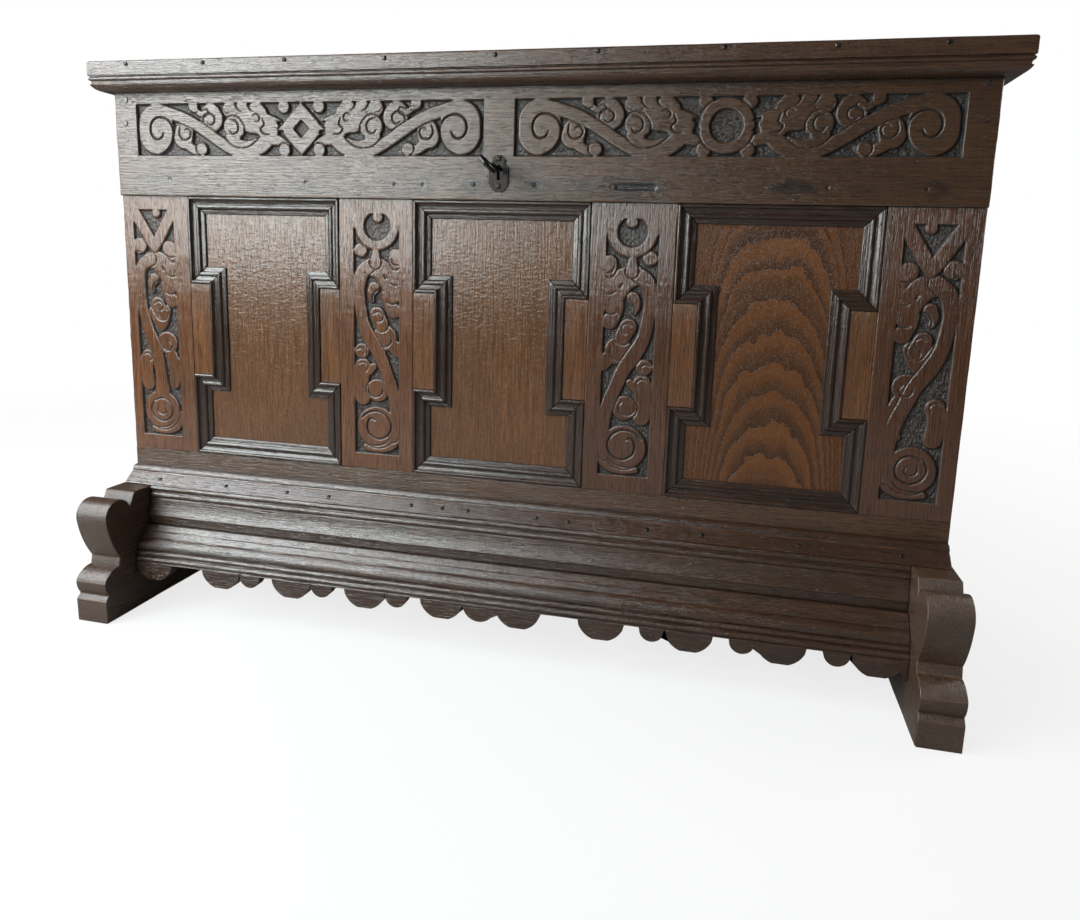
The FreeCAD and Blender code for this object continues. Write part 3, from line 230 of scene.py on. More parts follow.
def iron(name, **changes):
    v = dict(ironValues, **changes)
    finish, tree = emptyMaterial(name)
    place = add(tree, "TexCoord")["Object"]
    dents, pits, spread = [add(tree, "TexNoise", {"Vector": place, "Scale": 1 / (v[key] * mm),
                               "Detail": detail})[0]
                           for key, detail in (("dents", 2.0), ("pits", 3.0), ("spread", 4.0))]
    scaled = add(tree, "MapRange", {0: pits, 1: 0.4, 2: 0.62})[0]
    rusty = add(tree, "MapRange", {0: spread, 1: 0.5, 2: 0.68, 3: 0.0, 4: v["rusting"]})[0]
    colour = add(tree, "Mix", {0: scaled, 6: linear(v["scale"]), 7: linear(v["metal"])}, data_type="RGBA")[2]
    colour = add(tree, "Mix", {0: rusty, 6: colour, 7: linear(v["rust"])}, data_type="RGBA")[2]
    # rust is duller and no metal; the fire's scale is a little smoother
    metallic = add(tree, "Math", {0: rusty, 1: -0.8, 2: 0.85}, operation="MULTIPLY_ADD")[0]
    rough = add(tree, "Math", {0: rusty, 1: 0.4, 2: v["rough"]}, operation="MULTIPLY_ADD")[0]
    rough = add(tree, "Math", {0: scaled, 1: -0.08, 2: rough}, operation="MULTIPLY_ADD")[0]
    height = add(tree, "Math", {0: pits, 1: 0.3, 2: dents}, operation="MULTIPLY_ADD")[0]
    bump = add(tree, "Bump", {"Strength": 0.8, "Distance": 0.5 * mm, "Height": height})
    surface = add(tree, "BsdfPrincipled", {"Base Color": colour, "Metallic": metallic,
                  "Roughness": rough, "Normal": bump[0]})
    add(tree, "OutputMaterial", {0: surface[0]})
    return finish


forgedIron = iron("forgedIron")
nailIron = iron("forgedIronNails", metal="#4b4a49", rusting=0.4)
lockIron = iron("forgedIronLock", metal="#4a4744", rusting=0.5)
keyIron = iron("polishedIronKey", metal="#5a5a5c", scale="#2a2a2c", rusting=0.15, rough=0.32)
print("materials made")

axisOrder = {"X": (0, 2, 1), "Y": (1, 0, 2), "Z": (2, 0, 1)}  # along, across and through a board
dice = random.Random(1660)


def grainFrame(axis, cut, spot):
    # how a board was sawn: how far its middle lies from the tree's heart, in metres, and how it leans
    order = axisOrder[axis]
    shift = dice.uniform(0, 9)
    if cut == "quarter":
        heart = (spot[order[1]] + dice.uniform(0.25, 0.4) * dice.choice((-1, 1)),
                 spot[order[2]] + dice.uniform(-0.01, 0.01))
    elif cut == "figured":
        heart = (spot[order[1]] + 0.005, spot[order[2]] - 0.2)
    else:
        heart = (spot[order[1]] + dice.uniform(-0.05, 0.05), spot[order[2]] + dice.uniform(0.05, 0.12))
    lean = dice.uniform(-0.02, 0.02), dice.uniform(-0.02, 0.02)
    if cut == "figured":
        lean = (0.02, 0.45)
    return order, shift, heart, lean


def grainAt(point, sawn, spot):
    order, shift, heart, lean = sawn
    along = point[order[0]]
    reach = along - spot[order[0]]
    return Vector((along + shift, point[order[1]] - heart[0] + lean[0] * reach,
                   point[order[2]] - heart[1] + lean[1] * reach))


def islands(mesh):
    # the separate solids of a mesh, as lists of vertices
    left = set(mesh.verts)
    groups = []
    for first in mesh.verts:
        if first not in left:
            continue
        left.discard(first)
        group, edge = [first], [first]
        while edge:
            vert = edge.pop()
            for link in vert.link_edges:
                other = link.other_vert(vert)
                if other in left:
                    left.discard(other)
                    group.append(other)
                    edge.append(other)
        groups.append(group)
    return groups


def cadMesh(node):
    mesh = bmesh.new()
    mesh.from_mesh(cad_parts[node].data)
    bmesh.ops.remove_doubles(mesh, verts=mesh.verts, dist=0.01 * mm)
    bmesh.ops.dissolve_limit(mesh, angle_limit=math.radians(0.6), verts=mesh.verts, edges=mesh.edges)
    return mesh


def piece(name, mesh, finish, body, node, angle=40, even=True):
    # a finished mesh as an object of the scene, sharp from an angle in degrees
    data = bpy.data.meshes.new(name)
    mesh.to_mesh(data)
    mesh.free()
    for face in data.polygons:
        face.use_smooth = True
    data.set_sharp_from_angle(angle=math.radians(angle))
    data.materials.append(finish)
    made = newObject(name, data)
    if even:
        made.modifiers.new("evenShading", "WEIGHTED_NORMAL").keep_sharp = True
    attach(made, body)
    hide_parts(node)
    return made


def sharpEdges(mesh, angle):
    return [e for e in mesh.edges if len(e.link_faces) == 2 and e.calc_face_angle() > math.radians(angle)]


def ease(mesh, edges, radius):
    # edges rounded off, and the new faces
    return bmesh.ops.bevel(mesh, geom=edges, offset=radius * mm, segments=2, profile=0.5, affect="EDGES",
                           clamp_overlap=True)["faces"]


def cutAcross(mesh, main, step):
    # cuts every few millimetres along a piece, so that its surface can wave
    places = [v.co[main] for v in mesh.verts]
    low, high = min(places), max(places)
    count = int((high - low) / (step * mm))
    direction = Vector((main == 0, main == 1, main == 2))
    for i in range(1, count):
        bmesh.ops.bisect_plane(mesh, geom=mesh.verts[:] + mesh.edges[:] + mesh.faces[:], dist=1e-6,
                               plane_co=direction * (low + (high - low) * i / count), plane_no=direction)


def weather(mesh, depth, size, seed=0.0, edgeDepth=0.0):
    # wear, dents and unevenness: every point moves inwards only
    mesh.normal_update()
    wornLayer = mesh.verts.layers.float.get("worn")
    moves = []
    for vert in mesh.verts:
        amount = depth * (0.5 + 0.5 * noise.noise(vert.co / size + Vector((seed, seed * 0.37, -seed))))
        if edgeDepth:
            chips = noise.noise(vert.co / (size * 0.6) + Vector((-seed, 0, seed)))
            amount += edgeDepth * vert[wornLayer] * max(0, 0.35 + chips)
        moves.append(-vert.normal * amount)
    for vert, move in zip(mesh.verts, moves):
        vert.co += move


def agedMesh(node, axis, cut="plain", arris=1.2, step=14, depth=0.25, edgeDepth=0.5, seed=0.0, front=None):
    # a board with eased and worn arrises; its sizes are in mm
    mesh = cadMesh(node)
    for key in ageAndShadeLayers:
        mesh.verts.layers.float.new(key)
    grainLayer = mesh.verts.layers.float_vector.new("grain")
    wornLayer = mesh.verts.layers.float["worn"]
    sharp = sharpEdges(mesh, 27)
    if front is not None:
        # the carved face stands here, so the board's own face is set 3 mm back
        behind = [v for v in mesh.verts if v.co.y < (front + 0.05) * mm]
        sharp = [e for e in sharp if not any(v in behind for v in e.verts)]
    eased = set(ease(mesh, sharp, arris))
    for vert in mesh.verts:
        if front is not None and vert.co.y < (front + 0.05) * mm:
            vert.co.y += 3 * mm
        if vert.link_faces and all(face in eased for face in vert.link_faces):
            vert[wornLayer] = 1.0
    cutAcross(mesh, axisOrder[axis][0], step)
    for group in islands(mesh):
        corners = np.array([v.co for v in group])
        low, high = corners.min(0), corners.max(0)
        spot = (low + high) / 2
        own = "XYZ"[int(np.argmax(high - low))] if cut == "strips" else axis
        sawn = grainFrame(own, cut, spot)
        for vert in group:
            vert[grainLayer] = grainAt(vert.co, sawn, spot)
    weather(mesh, depth * mm, 60 * mm, seed, edgeDepth * mm)
    return mesh


def aged(node, state, finish, body, slot, axis, **how):
    name = node + "_" + state
    mesh = agedMesh(node, axis, seed=len(name) * 1.7 + ord(name[-1]), **how)
    piece(name, mesh, finish, body, node)


# Flat strapwork: the ground is sunk with a chisel to 4 mm, with steep walls, and lines part the leaves.
# Depths, widths and the mesh's cells on and beside the carving, in mm.
carvingValues = {"ground": 4.2, "line": 2.4, "deepest": 4.9, "wall": 1.3, "lineWidth": 1.4, "part": 1.9,
                 "waste": 0.45, "dome": 0.42, "arris": 2.2, "cell": 1.0, "coarse": 9, "margin": 1.5}
# The frieze board's face and its two sunk panels, as left, right, low and high, and where the face lies.
friezeValues = {"face": (-620, 620, 647, 818.7), "front": -202, "low": 707, "high": 782,
                "panels": ((-582.5, -28.7), (16.7, 582.5)), "boss": 9.5}
# The uprights' faces and sunk fields likewise, with half the field's width.
uprightValues = {"low": 243, "high": 647, "front": -197, "half": 35.5, "fieldLow": 267, "fieldHigh": 625.5,
                 "deepest": 3.9}
# Each strap is drawn over those before it: points and half widths, from the frieze's end and lower borders.
friezeStraps = [
    [[(128, 57, 18.5), (130, 53, 19)]],
    [[(82, 34, 16), (80, 26, 16.5)], [(86, 16, 8), (98, 8, 7), (109, 9, 8)]],
    [[(98.5, 71.5, 8.5), (99, 70.5, 8.5)], [(102, 66, 4.5), (112, 60, 4.5), (120, 62, 4)]],
    [[(111, 10, 9), (112, 9, 9)]],
    [[(33, 46, 29.5), (33, 31, 30)],
     [(38, 67, 9), (64, 60, 9), (91, 50.5, 8.5), (117, 35.5, 8.5), (140, 21, 8.5), (163, 10, 9.5),
      (189, 7, 11), (211, 14, 11.5), (226, 27, 10.5), (233, 40, 9)],
     [(160, 66, 12), (162, 64, 12)], [(181, 68, 11), (184, 62, 11)], [(204, 61, 16), (208, 58, 15)],
     [(180, 50, 12), (206, 49, 14), (226, 47, 11), (240, 47, 5)], [(190, 42, 9), (214, 38, 12)],
     [(228, 24, 9), (243, 20.5, 7), (252, 15, 6)]],
    [[(165, 41, 16), (168, 37, 16)], [(158, 27, 6), (170, 19, 6.5), (188, 17, 4.5), (204, 24, 1.5)]],
]
friezeGround = [[(239, 48.5), (248, 47), (246, 43.5), (241, 43)],
                [(240, 35), (246, 35.5), (248, 32), (242, 31)],
                [(178, 27), (188, 31), (199, 32), (207, 29), (200, 25), (189, 23), (181, 23)]]
friezeLines = [
    (1.3, [(46, 33), (42, 26), (34, 23.5), (27, 28), (23.5, 38), (27, 49.5), (38, 56), (54, 52), (63, 39),
           (61.5, 22), (52, 8.5), (40, 2)]),
    (1.0, [(115, 47), (117, 57), (126, 61), (134, 56), (134, 48), (128, 44), (122, 47)]),
    (1.0, [(75, 42), (73.5, 31), (80, 23), (90, 25), (93.5, 33), (89, 39), (83, 37)]),
    (1.0, [(160, 52), (169, 50), (174, 43), (172, 34), (164, 31), (159, 36)]),
    (0.9, [(198, 57), (204, 59.5), (209.5, 55), (207.5, 49), (201, 49)]),
    (1.0, [(214, 53), (217, 44), (211, 38), (216, 31), (226, 30)]),
    (0.9, [(170.5, 78), (171, 71), (175, 65), (181, 62)]),
    (0.9, [(192, 78), (191.5, 71), (195, 65), (199, 63)]),
    (0.9, [(106, 63), (99, 61.5), (92, 66)]),
    (0.9, [(120, 14), (115, 19), (107, 18)]),
    (0.8, [(150, 66), (154, 61), (160, 60)]),
]


def curve(points, closed, steps=5):
    # a smooth line through the points
    count = len(points)
    line = []
    last = count if closed else count - 1
    for i in range(last):
        near = [np.array(points[(i + k) % count] if closed else points[min(max(i + k, 0), count - 1)], float)
                for k in (-1, 0, 1, 2)]
        for s in range(steps):
            t = s / steps
            line.append(0.5 * (2 * near[1] + (near[2] - near[0]) * t
                               + (2 * near[0] - 5 * near[1] + 4 * near[2] - near[3]) * t * t
                               + (3 * near[1] - near[0] - 3 * near[2] + near[3]) * t ** 3))
    if not closed:
        line.append(np.array(points[-1], float))
    return np.array(line)


def nearby(gridX, gridZ, line, reach):
    inside = ((gridX > line[:, 0].min() - reach) & (gridX < line[:, 0].max() + reach)
              & (gridZ > line[:, 1].min() - reach) & (gridZ < line[:, 1].max() + reach))
    return np.nonzero(inside)


def awayFrom(px, pz, line, closed):
    # distance of points from a line, and whether they are inside it
    best = np.full(px.shape, 1e9)
    inside = np.zeros(px.shape, bool)
    ends = np.roll(line, -1, 0) if closed else line[1:]
    for a, b in zip(line[:len(ends)], ends):
        d = b - a
        t = np.clip(((px - a[0]) * d[0] + (pz - a[1]) * d[1]) / max(d @ d, 1e-9), 0, 1)
        best = np.minimum(best, np.hypot(px - a[0] - t * d[0], pz - a[1] - t * d[1]))
        if closed and a[1] != b[1]:
            crosses = (a[1] > pz) != (b[1] > pz)
            inside ^= crosses & (px < (b[0] - a[0]) * (pz - a[1]) / (b[1] - a[1]) + a[0])
    return best, inside


def strapAway(px, pz, line):
    # distance of points from a strap's edge, less than nothing on the strap
    best = np.full(px.shape, 1e9)
    for a, b in zip(line, line[1:]):
        d = b[:2] - a[:2]
        t = np.clip(((px - a[0]) * d[0] + (pz - a[1]) * d[1]) / max(d @ d, 1e-9), 0, 1)
        away = np.hypot(px - a[0] - t * d[0], pz - a[1] - t * d[1])
        best = np.minimum(best, away - a[2] - t * (b[2] - a[2]))
    return best


def carve(gridX, gridZ, border, straps, grounds, cuts, seed):
    # how deep the chisel went at each point of a grid, how much of it is ground, and where soot and painted
    # shade darken the walls and lines
    left, right, low, high = border
    outside = 9.0
    sunk = np.full(gridX.shape, outside)
    parted = np.zeros(gridX.shape)
    for strap in straps:
        whole = np.full(gridX.shape, outside)
        for points in strap:
            if len(points[0]) == 2:
                line = np.array(points)
                at = nearby(gridX, gridZ, line, 3)
                away, inside = awayFrom(gridX[at], gridZ[at], line, True)
                whole[at] = np.minimum(whole[at], np.where(inside, -away, away))
                continue
            line = curve(points, False)
            at = nearby(gridX, gridZ, line, max(p[2] for p in points) + 3)
            whole[at] = np.minimum(whole[at], strapAway(gridX[at], gridZ[at], line))
        sunk = np.minimum(sunk, whole)
        parted = np.where(whole < 0, 0, np.maximum(parted, smoothStep(1 - whole / carvingValues["part"])))
    for points in grounds:
        line = curve(points, True)
        at = nearby(gridX, gridZ, line, 3)
        away, inside = awayFrom(gridX[at], gridZ[at], line, True)
        sunk[at] = np.maximum(sunk[at], np.where(inside, away, -away))
    edge = np.minimum(np.minimum(gridX - left, right - gridX), np.minimum(gridZ - low, high - gridZ))
    sunk = np.minimum(sunk, edge)
    share = smoothStep((sunk + 0.5) / carvingValues["wall"])
    waste = np.array([[noise.noise(Vector((x / 5, z / 5, seed)))
                       + 0.6 * noise.noise(Vector((x / 2.1, z / 2.1, seed + 5)))
                       for x, z in zip(rowX, rowZ)] for rowX, rowZ in zip(gridX, gridZ)])
    depth = share * (carvingValues["ground"] + carvingValues["waste"] * waste)
    # soot with painted shade along the foot of each wall and in the parting lines
    sootAndShade = smoothStep(1.7 - np.abs(sunk - 0.8))
    parted = parted * smoothStep(edge / 1.2)
    depth = np.maximum(depth, parted * carvingValues["line"])
    sootAndShade = np.maximum(sootAndShade, parted)
    for width, points in cuts:
        line = curve(points, False)
        at = nearby(gridX, gridZ, line, 4)
        away, _ = awayFrom(gridX[at], gridZ[at], line, False)
        ends = np.minimum(np.hypot(gridX[at] - line[0][0], gridZ[at] - line[0][1]),
                          np.hypot(gridX[at] - line[-1][0], gridZ[at] - line[-1][1]))
        half = width * carvingValues["lineWidth"]
        taper = np.clip(0.45 + ends / 14, 0, 1)
        cutDepth = carvingValues["line"] * width * taper * smoothStep(1 - away / half)
        cutDepth = cutDepth * smoothStep(edge[at] / 1.2)
        depth[at] = np.maximum(depth[at], cutDepth)
        # soot with painted shade in the cut lines
        sootAndShade[at] = np.maximum(sootAndShade[at], smoothStep(cutDepth / 1.5))
    dome = smoothStep((sunk + 2.6) / 2.5) * (1 - share)
    depth += carvingValues["dome"] * dome * (edge > 0)
    return depth, share, sootAndShade


def disc(x, z, radius):
    # a round boss, as a very short strap
    return [(x, z, radius), (x + 0.5, z, radius)]


def friezeDesign(left, right, middle, centre):
    # a frieze panel: both halves, four bosses round its middle, and the piece that stands there
    up = friezeValues["low"]
    straps, grounds, cuts = [], [], []
    for start, way in ((left, 1), (right, -1)):
        straps += [[[(start + way * x, z + up, r) for x, z, r in points] for points in strap]
                   for strap in friezeStraps]
        grounds += [[(start + way * x, z + up) for x, z in points] for points in friezeGround]
        cuts += [(width, [(start + way * x, z + up) for x, z in points]) for width, points in friezeLines]
    for x in (middle - 28, middle + 28):
        for z in (69, 8):
            straps.append([disc(x, z + up, friezeValues["boss"])])
    straps.append([centre])
    return straps, grounds, cuts


# The uprights' straps: across from the middle of the field, and down from the frieze board's lower edge.
sStrap = [(-8, -94, 10), (-22, -106, 11), (-27, -125, 9.5), (-27, -143, 9), (-22, -178, 9.5),
          (-11, -203, 10.5), (5, -228, 10), (15, -253, 9.5), (25, -279, 9.5), (29, -305, 8.5),
          (29, -331, 8), (25, -352, 9)]
steepStrap = [(-8, -98, 10), (-24, -108, 10), (-28, -125, 9), (-28, -150, 8.5), (-26, -178, 9),
              (-19, -207, 10), (-9, -232, 10.5), (-2, -262, 10.5), (1, -290, 11), (2, -310, 14)]
uprightStraps = {
    "ring": [[disc(-25, -74, 10.5)], [disc(30, -80, 10), [(28, -86, 9), (30, -94, 7)]],
             [[(-1, -72, 5), (-1, -92, 9)], [(-31, -26, 7), (-30.5, -40, 5)], [(32, -26, 7), (31, -40, 5)],
              [(1 + 27.3 * math.cos(k * math.pi / 10), -39 + 27.3 * math.sin(k * math.pi / 10), 7.3)
               for k in range(21)]],
             [disc(2, -26, 8)]],
    "vee": [[disc(-27, -77, 12.5)], [disc(26, -80, 12), [(30, -88, 8), (31, -96, 5)]],
            [[(-33, -26, 9.5), (-9, -65, 9.5), (-1, -80, 7)], [(33, -26, 9.5), (9, -65, 9.5), (1, -80, 7)]],
            [disc(5, -26, 7.5)]],
    "head": [[[(-10, -98, 12), (6, -101, 16), (17, -112, 17), (22, -124, 15)], disc(29, -108, 10),
              disc(28, -138, 11.5), [(20, -132, 12), (18, -146, 9), (27, -161, 11.5)],
              [(-4, -128, 9), (-9, -138, 6), (-7, -147, 4)]],
             [[(1, -168, 12), (8, -182, 11)]]],
    "rounds": [[[(-22, -247, 13), (-25, -266, 12.5), (-23, -294, 12)], [(-13, -254, 6), (-5, -246, 5.5)]],
               [disc(-24, -223, 11.5)], [disc(1, -282, 17.5)],
               [disc(13, -202, 19.5), [(28, -214, 10), (33, -224, 7)]]],
    "heart": [[[(-22, -254, 12.5), (-26, -272, 12), (-23, -296, 11.5)]],
              [disc(15, -229, 18), [(22, -250, 11), (28, -268, 10.5), (25, -294, 9)]],
              [[(-6, -180, 10.5), (2, -196, 9), (7, -208, 2)],
               [(13, -179, 11), (9, -195, 9.5), (8, -208, 2)]]],
    "foot": [[[(-18, -371, 5), (4, -371, 7.5), (24, -362, 10), (30, -345, 7)]]],
}
uprightLines = {
    "ring": [(1.0, [(-37, -83), (-30, -82), (-23, -86)]), (1.0, [(24, -86), (27, -93), (36, -95)])],
    "vee": [(1.0, [(-37, -88), (-30, -86), (-22, -90)]), (1.0, [(20, -92), (26, -94), (36, -93)])],
    "head": [(1.7, [(12.5, -110), (14.5, -114)]), (1.1, [(-6, -152), (-6, -140), (1, -132), (10, -133)]),
             (1.1, [(18, -149), (26, -151.5), (36, -148)]),
             (0.9, [(-4, -167), (3, -163), (10, -168), (9, -176), (3, -178)]),
             (0.9, [(22, -121), (28, -124), (36, -123)])],
    "rounds": [(1.0, [(-13, -276), (-12, -287), (-4, -292), (6, -289), (10, -280), (5, -274)]),
               (1.0, [(23, -196), (24, -206), (18, -214), (8, -216)]),
               (0.9, [(-32, -222), (-26, -219), (-20, -223), (-21, -229)]),
               (0.9, [(-29, -243), (-21, -240), (-14, -246), (-17, -254)])],
    "heart": [(1.0, [(7, -228), (9, -238), (18, -241), (24, -233), (20, -226)]),
              (0.9, [(3, -176), (3, -184), (4, -189)]),
              (0.9, [(-30, -250), (-22, -247), (-15, -253), (-18, -260)])],
    "foot": [(0.9, [(-20, -366), (-4, -368), (12, -364), (22, -354)])],
    "broadScroll": [(1.3, [(-3, -328), (-11, -326), (-16, -336), (-12, -350), (3, -357), (18, -350),
                           (23, -335), (16, -321), (2, -314), (-14, -317), (-25, -326)])],
    "ringScroll": [(1.2, [(-14, -322), (-20, -337), (-14, -351), (0, -357), (14, -351), (19, -338),
                          (13, -324), (0, -319), (-12, -324)]),
                   (1.0, [(-7, -331), (-8, -341), (0, -346), (7, -341), (5, -334)])],
}


def uprightDesign(middle, side, parts, strap, scroll):
    # the carving of one upright from its parts; the long strap and its scroll go under the top part
    up = uprightValues["high"]
    straps = [shape for part in parts for shape in uprightStraps[part]]
    straps.insert(len(straps) - len(uprightStraps[parts[-1]]), [strap, disc(0, -339, 32)])
    straps = [[[(middle + side * x, z + up, r) for x, z, r in points] for points in shape]
              for shape in straps]
    cuts = [(width, [(middle + side * x, z + up) for x, z in points])
            for part in parts + [scroll] for width, points in uprightLines[part]]
    return straps, [], cuts


def gridLines(low, high, first, last):
    # grid lines: close together over the carving, wider apart beside it, and three at each rounded end
    ends = np.array([0, 0.4, 1.0, 2.0])
    coarse = carvingValues["coarse"]
    before, after = low + ends, high - ends[::-1]
    inner = np.linspace(first, last, int(round((last - first) / carvingValues["cell"])) + 1)
    left = np.linspace(before[-1], first, max(2, int((first - before[-1]) / coarse) + 2))[1:-1]
    right = np.linspace(last, after[0], max(2, int((after[0] - last) / coarse) + 2))[1:-1]
    return np.array(sorted(set(np.round(np.concatenate([before, left, inner, right, after]), 3))))


def carvedBoard(node, finish, axis, face, front, panels, deepest, wornEdges, marks=None, rows=()):
    # a board whose whole face is one carved surface, with the board itself behind it
    left, right, low, high = face
    margin = carvingValues["margin"]
    borders = [border for border, _, _ in panels]
    xs = gridLines(left, right, min(b[0] for b in borders) - margin, max(b[1] for b in borders) + margin)
    zs = gridLines(low, high, min(b[2] for b in borders) - margin, max(b[3] for b in borders) + margin)
    zs = np.union1d(zs, rows)
    gridX, gridZ = np.meshgrid(xs, zs)
    depth, hollow, gouge, stainAndShade = [np.zeros(gridX.shape) for _ in ageAndShadeLayers]
    for border, shapes, holes in panels:
        deep, ground, sootAndShade = carve(gridX, gridZ, border, *shapes, len(node))
        for hole in holes:
            at = nearby(gridX, gridZ, hole, 3)
            away, inside = awayFrom(gridX[at], gridZ[at], hole, True)
            signed = np.where(inside, away, -away)
            part = smoothStep((signed + 0.5) / carvingValues["wall"])
            # a ring of soot with painted shade round the hole's wall
            sootAndShade[at] = np.maximum(sootAndShade[at] * (1 - part), np.clip(1 - np.abs(signed - 1.0) / 1.3, 0, 1))
            deep[at] = np.maximum(deep[at], part * carvingValues["ground"])
            ground[at] = np.maximum(ground[at], part)
        depth = np.maximum(depth, deep)
        hollow = np.maximum(hollow, ground)
        gouge = np.maximum(gouge, sootAndShade)
    depth *= deepest / carvingValues["deepest"]
    sway = np.array([[noise.noise(Vector((x / 70, z / 40, len(node))))
                      + 0.35 * noise.noise(Vector((x / 11, z / 9, 3)))
                      for x, z in zip(rowX, rowZ)] for rowX, rowZ in zip(gridX, gridZ)])
    depth += 0.22 + 0.2 * sway
    if marks:
        depth, stainAndShade = marks(gridX, gridZ, depth)
    away = np.full(gridX.shape, 99.0)
    for rubbed, distance in zip(wornEdges, (gridX - left, right - gridX, gridZ - low, high - gridZ)):
        if rubbed:
            away = np.minimum(away, distance)
    nick = 0.7 + 0.9 * np.clip(sway, -0.6, 1)
    worn = np.clip(1 - away / carvingValues["arris"], 0, 1)
    depth = np.clip(depth + 1.3 * nick * worn ** 2, 0.02, deepest)
    slope = np.hypot(*np.gradient(depth))
    worn = np.maximum(worn, smoothStep((slope - 0.25) / 0.8) * (depth < 1.6)) * (1 - stainAndShade)

    # the face is a grid, and a rim 6 mm behind it closes the skin
    wide, tall = len(xs), len(zs)
    inset, rim = 0.3, front + 6.0
    points = np.stack([gridX, front + depth, gridZ], -1).reshape(-1, 3)
    index = np.arange(wide * tall).reshape(tall, wide)
    faces = np.stack([index[:-1, :-1], index[:-1, 1:], index[1:, 1:], index[1:, :-1]], -1)
    faces = faces.reshape(-1, 4).tolist()
    backX = np.clip(xs, left + inset, right - inset)
    rearLow = np.stack([backX, np.full(wide, rim), np.full(wide, low + inset)], -1)
    rearHigh = np.stack([backX, np.full(wide, rim), np.full(wide, high - inset)], -1)
    base = len(points)
    points = np.concatenate([points, rearLow, rearHigh]) * mm
    for i in range(wide - 1):
        a, b = base + i, base + i + 1
        c, d = a + wide, b + wide
        faces.append([int(index[0, i]), a, b, int(index[0, i + 1])])
        faces.append([int(index[-1, i]), int(index[-1, i + 1]), d, c])
        faces.append([a, c, d, b])
    faces.append(index[:, 0].tolist() + [base + wide, base])
    faces.append(index[::-1, -1].tolist() + [base + wide - 1, base + 2 * wide - 1])
    data = bpy.data.meshes.new(node + "Face")
    data.from_pydata(points.tolist(), [], faces)
    spot = np.array([(left + right) / 2, front, (low + high) / 2]) * mm
    sawn = grainFrame(axis, "quarter", spot)
    extra = [0.0] * (2 * wide)
    for key, values in zip(ageAndShadeLayers, (worn, hollow, stainAndShade, gouge)):
        layer = data.attributes.new(key, "FLOAT", "POINT").data
        layer.foreach_set("value", values.reshape(-1).tolist() + extra)
    grain = np.array([grainAt(p, sawn, spot) for p in points])
    layer = data.attributes.new("grain", "FLOAT_VECTOR", "POINT").data
    layer.foreach_set("vector", grain.reshape(-1).tolist())
    fixed = bmesh.new()
    fixed.from_mesh(data)
    bmesh.ops.recalc_face_normals(fixed, faces=fixed.faces)
    fixed.to_mesh(data)
    fixed.free()
    data.materials.append(finish)
    skin = newObject(node + "Face", data)

    sharpFrom = 75  # degrees, so that the carving's walls shade softly
    behind = agedMesh(node, axis, cut="quarter", arris=1.0, step=40, depth=0.2, seed=1.0, front=front)
    made = piece(node + "_carved", behind, finish, "carcase", node, sharpFrom)
    with bpy.context.temp_override(active_object=made, object=made, selected_objects=[made, skin],
                                   selected_editable_objects=[made, skin]):
        bpy.ops.object.join()
    for polygon in made.data.polygons:
        polygon.use_smooth = True
    made.data.set_sharp_from_angle(angle=math.radians(sharpFrom))


# The frieze board's keyhole, marks of age and painted shade, in mm: an old slot with a nail in its end,
# painted shade darkening the board towards its right end, iron stains as place, width, height and strength,
# and nail holes.
markValues = {
    "slot": (183, 667), "slotHalf": 27, "slotDepth": 1.5, "nail": (156, 667), "nailHeight": 1.1,
    "keyhole": (-5, 690), "keyPin": 4.6, "keyBit": (683, 2.2, 8), "rightShade": (0.18, 60, 260),
    "stains": ((-43, 668, 17, 9, 0.9), (44, 668, 17, 10, 0.9), (-540, 672, 30, 12, 0.4),
               (-300, 668, 22, 9, 0.35), (-160, 668, 16, 8, 0.45), (-118, 667, 16, 9, 0.5),
               (118, 668, 26, 12, 0.5), (183, 668, 60, 17, 0.6), (390, 668, 42, 11, 0.8),
               (470, 666, 24, 10, 0.45), (560, 668, 20, 16, 0.55), (-5, 680, 34, 22, 0.4)),
    "holes": ((-530, 672), (-300, 669), (-160, 668), (-117, 668), (430, 669), (547, 668), (-578, 700)),
    "rows": (657, 696, 1.5),  # the mesh's extra rows where the marks lie: first, last and step
}


def railMarks(x, z, depth):
    v = markValues
    slotAway = np.hypot(np.maximum(np.abs(x - v["slot"][0]) - v["slotHalf"], 0), z - v["slot"][1])
    depth = depth + v["slotDepth"] * smoothStep((5.0 - slotAway) / 3.0)
    nailAway = np.hypot(x - v["nail"][0], z - v["nail"][1])
    depth = depth - v["nailHeight"] * smoothStep((3.6 - nailAway) / 1.4)
    rightShade, start, reach = v["rightShade"]
    stainAndShade = smoothStep((8 - slotAway) / 4) * (nailAway > 4)
    # painted shade: the board darkens towards its right end
    stainAndShade = np.maximum(stainAndShade, rightShade * smoothStep((x - start) / reach))
    for stainX, stainZ, wide, tall, much in v["stains"]:
        ragged = 1 + 0.35 * np.sin(x / 5.3 + stainX) * np.sin(z / 3.1)
        spread = np.exp(-((x - stainX) / wide) ** 2 - ((z - stainZ) / tall) ** 2)
        stainAndShade = np.maximum(stainAndShade, much * spread * ragged)
    for holeX, holeZ in v["holes"]:
        away = np.hypot(x - holeX, z - holeZ)
        depth = depth + 0.9 * smoothStep((3.0 - away) / 1.2)
        stainAndShade = np.maximum(stainAndShade, 0.8 * smoothStep((3.6 - away) / 1.4))
    keyX, keyZ = v["keyhole"]
    bitZ, bitWide, bitTall = v["keyBit"]
    keyhole = np.minimum(np.hypot(x - keyX, z - keyZ) - v["keyPin"],
                         np.maximum(np.abs(x - keyX) - bitWide, np.abs(z - bitZ) - bitTall))
    depth = np.where(keyhole < 0, carvingValues["deepest"], depth)
    return depth, np.clip(stainAndShade, 0, 1)


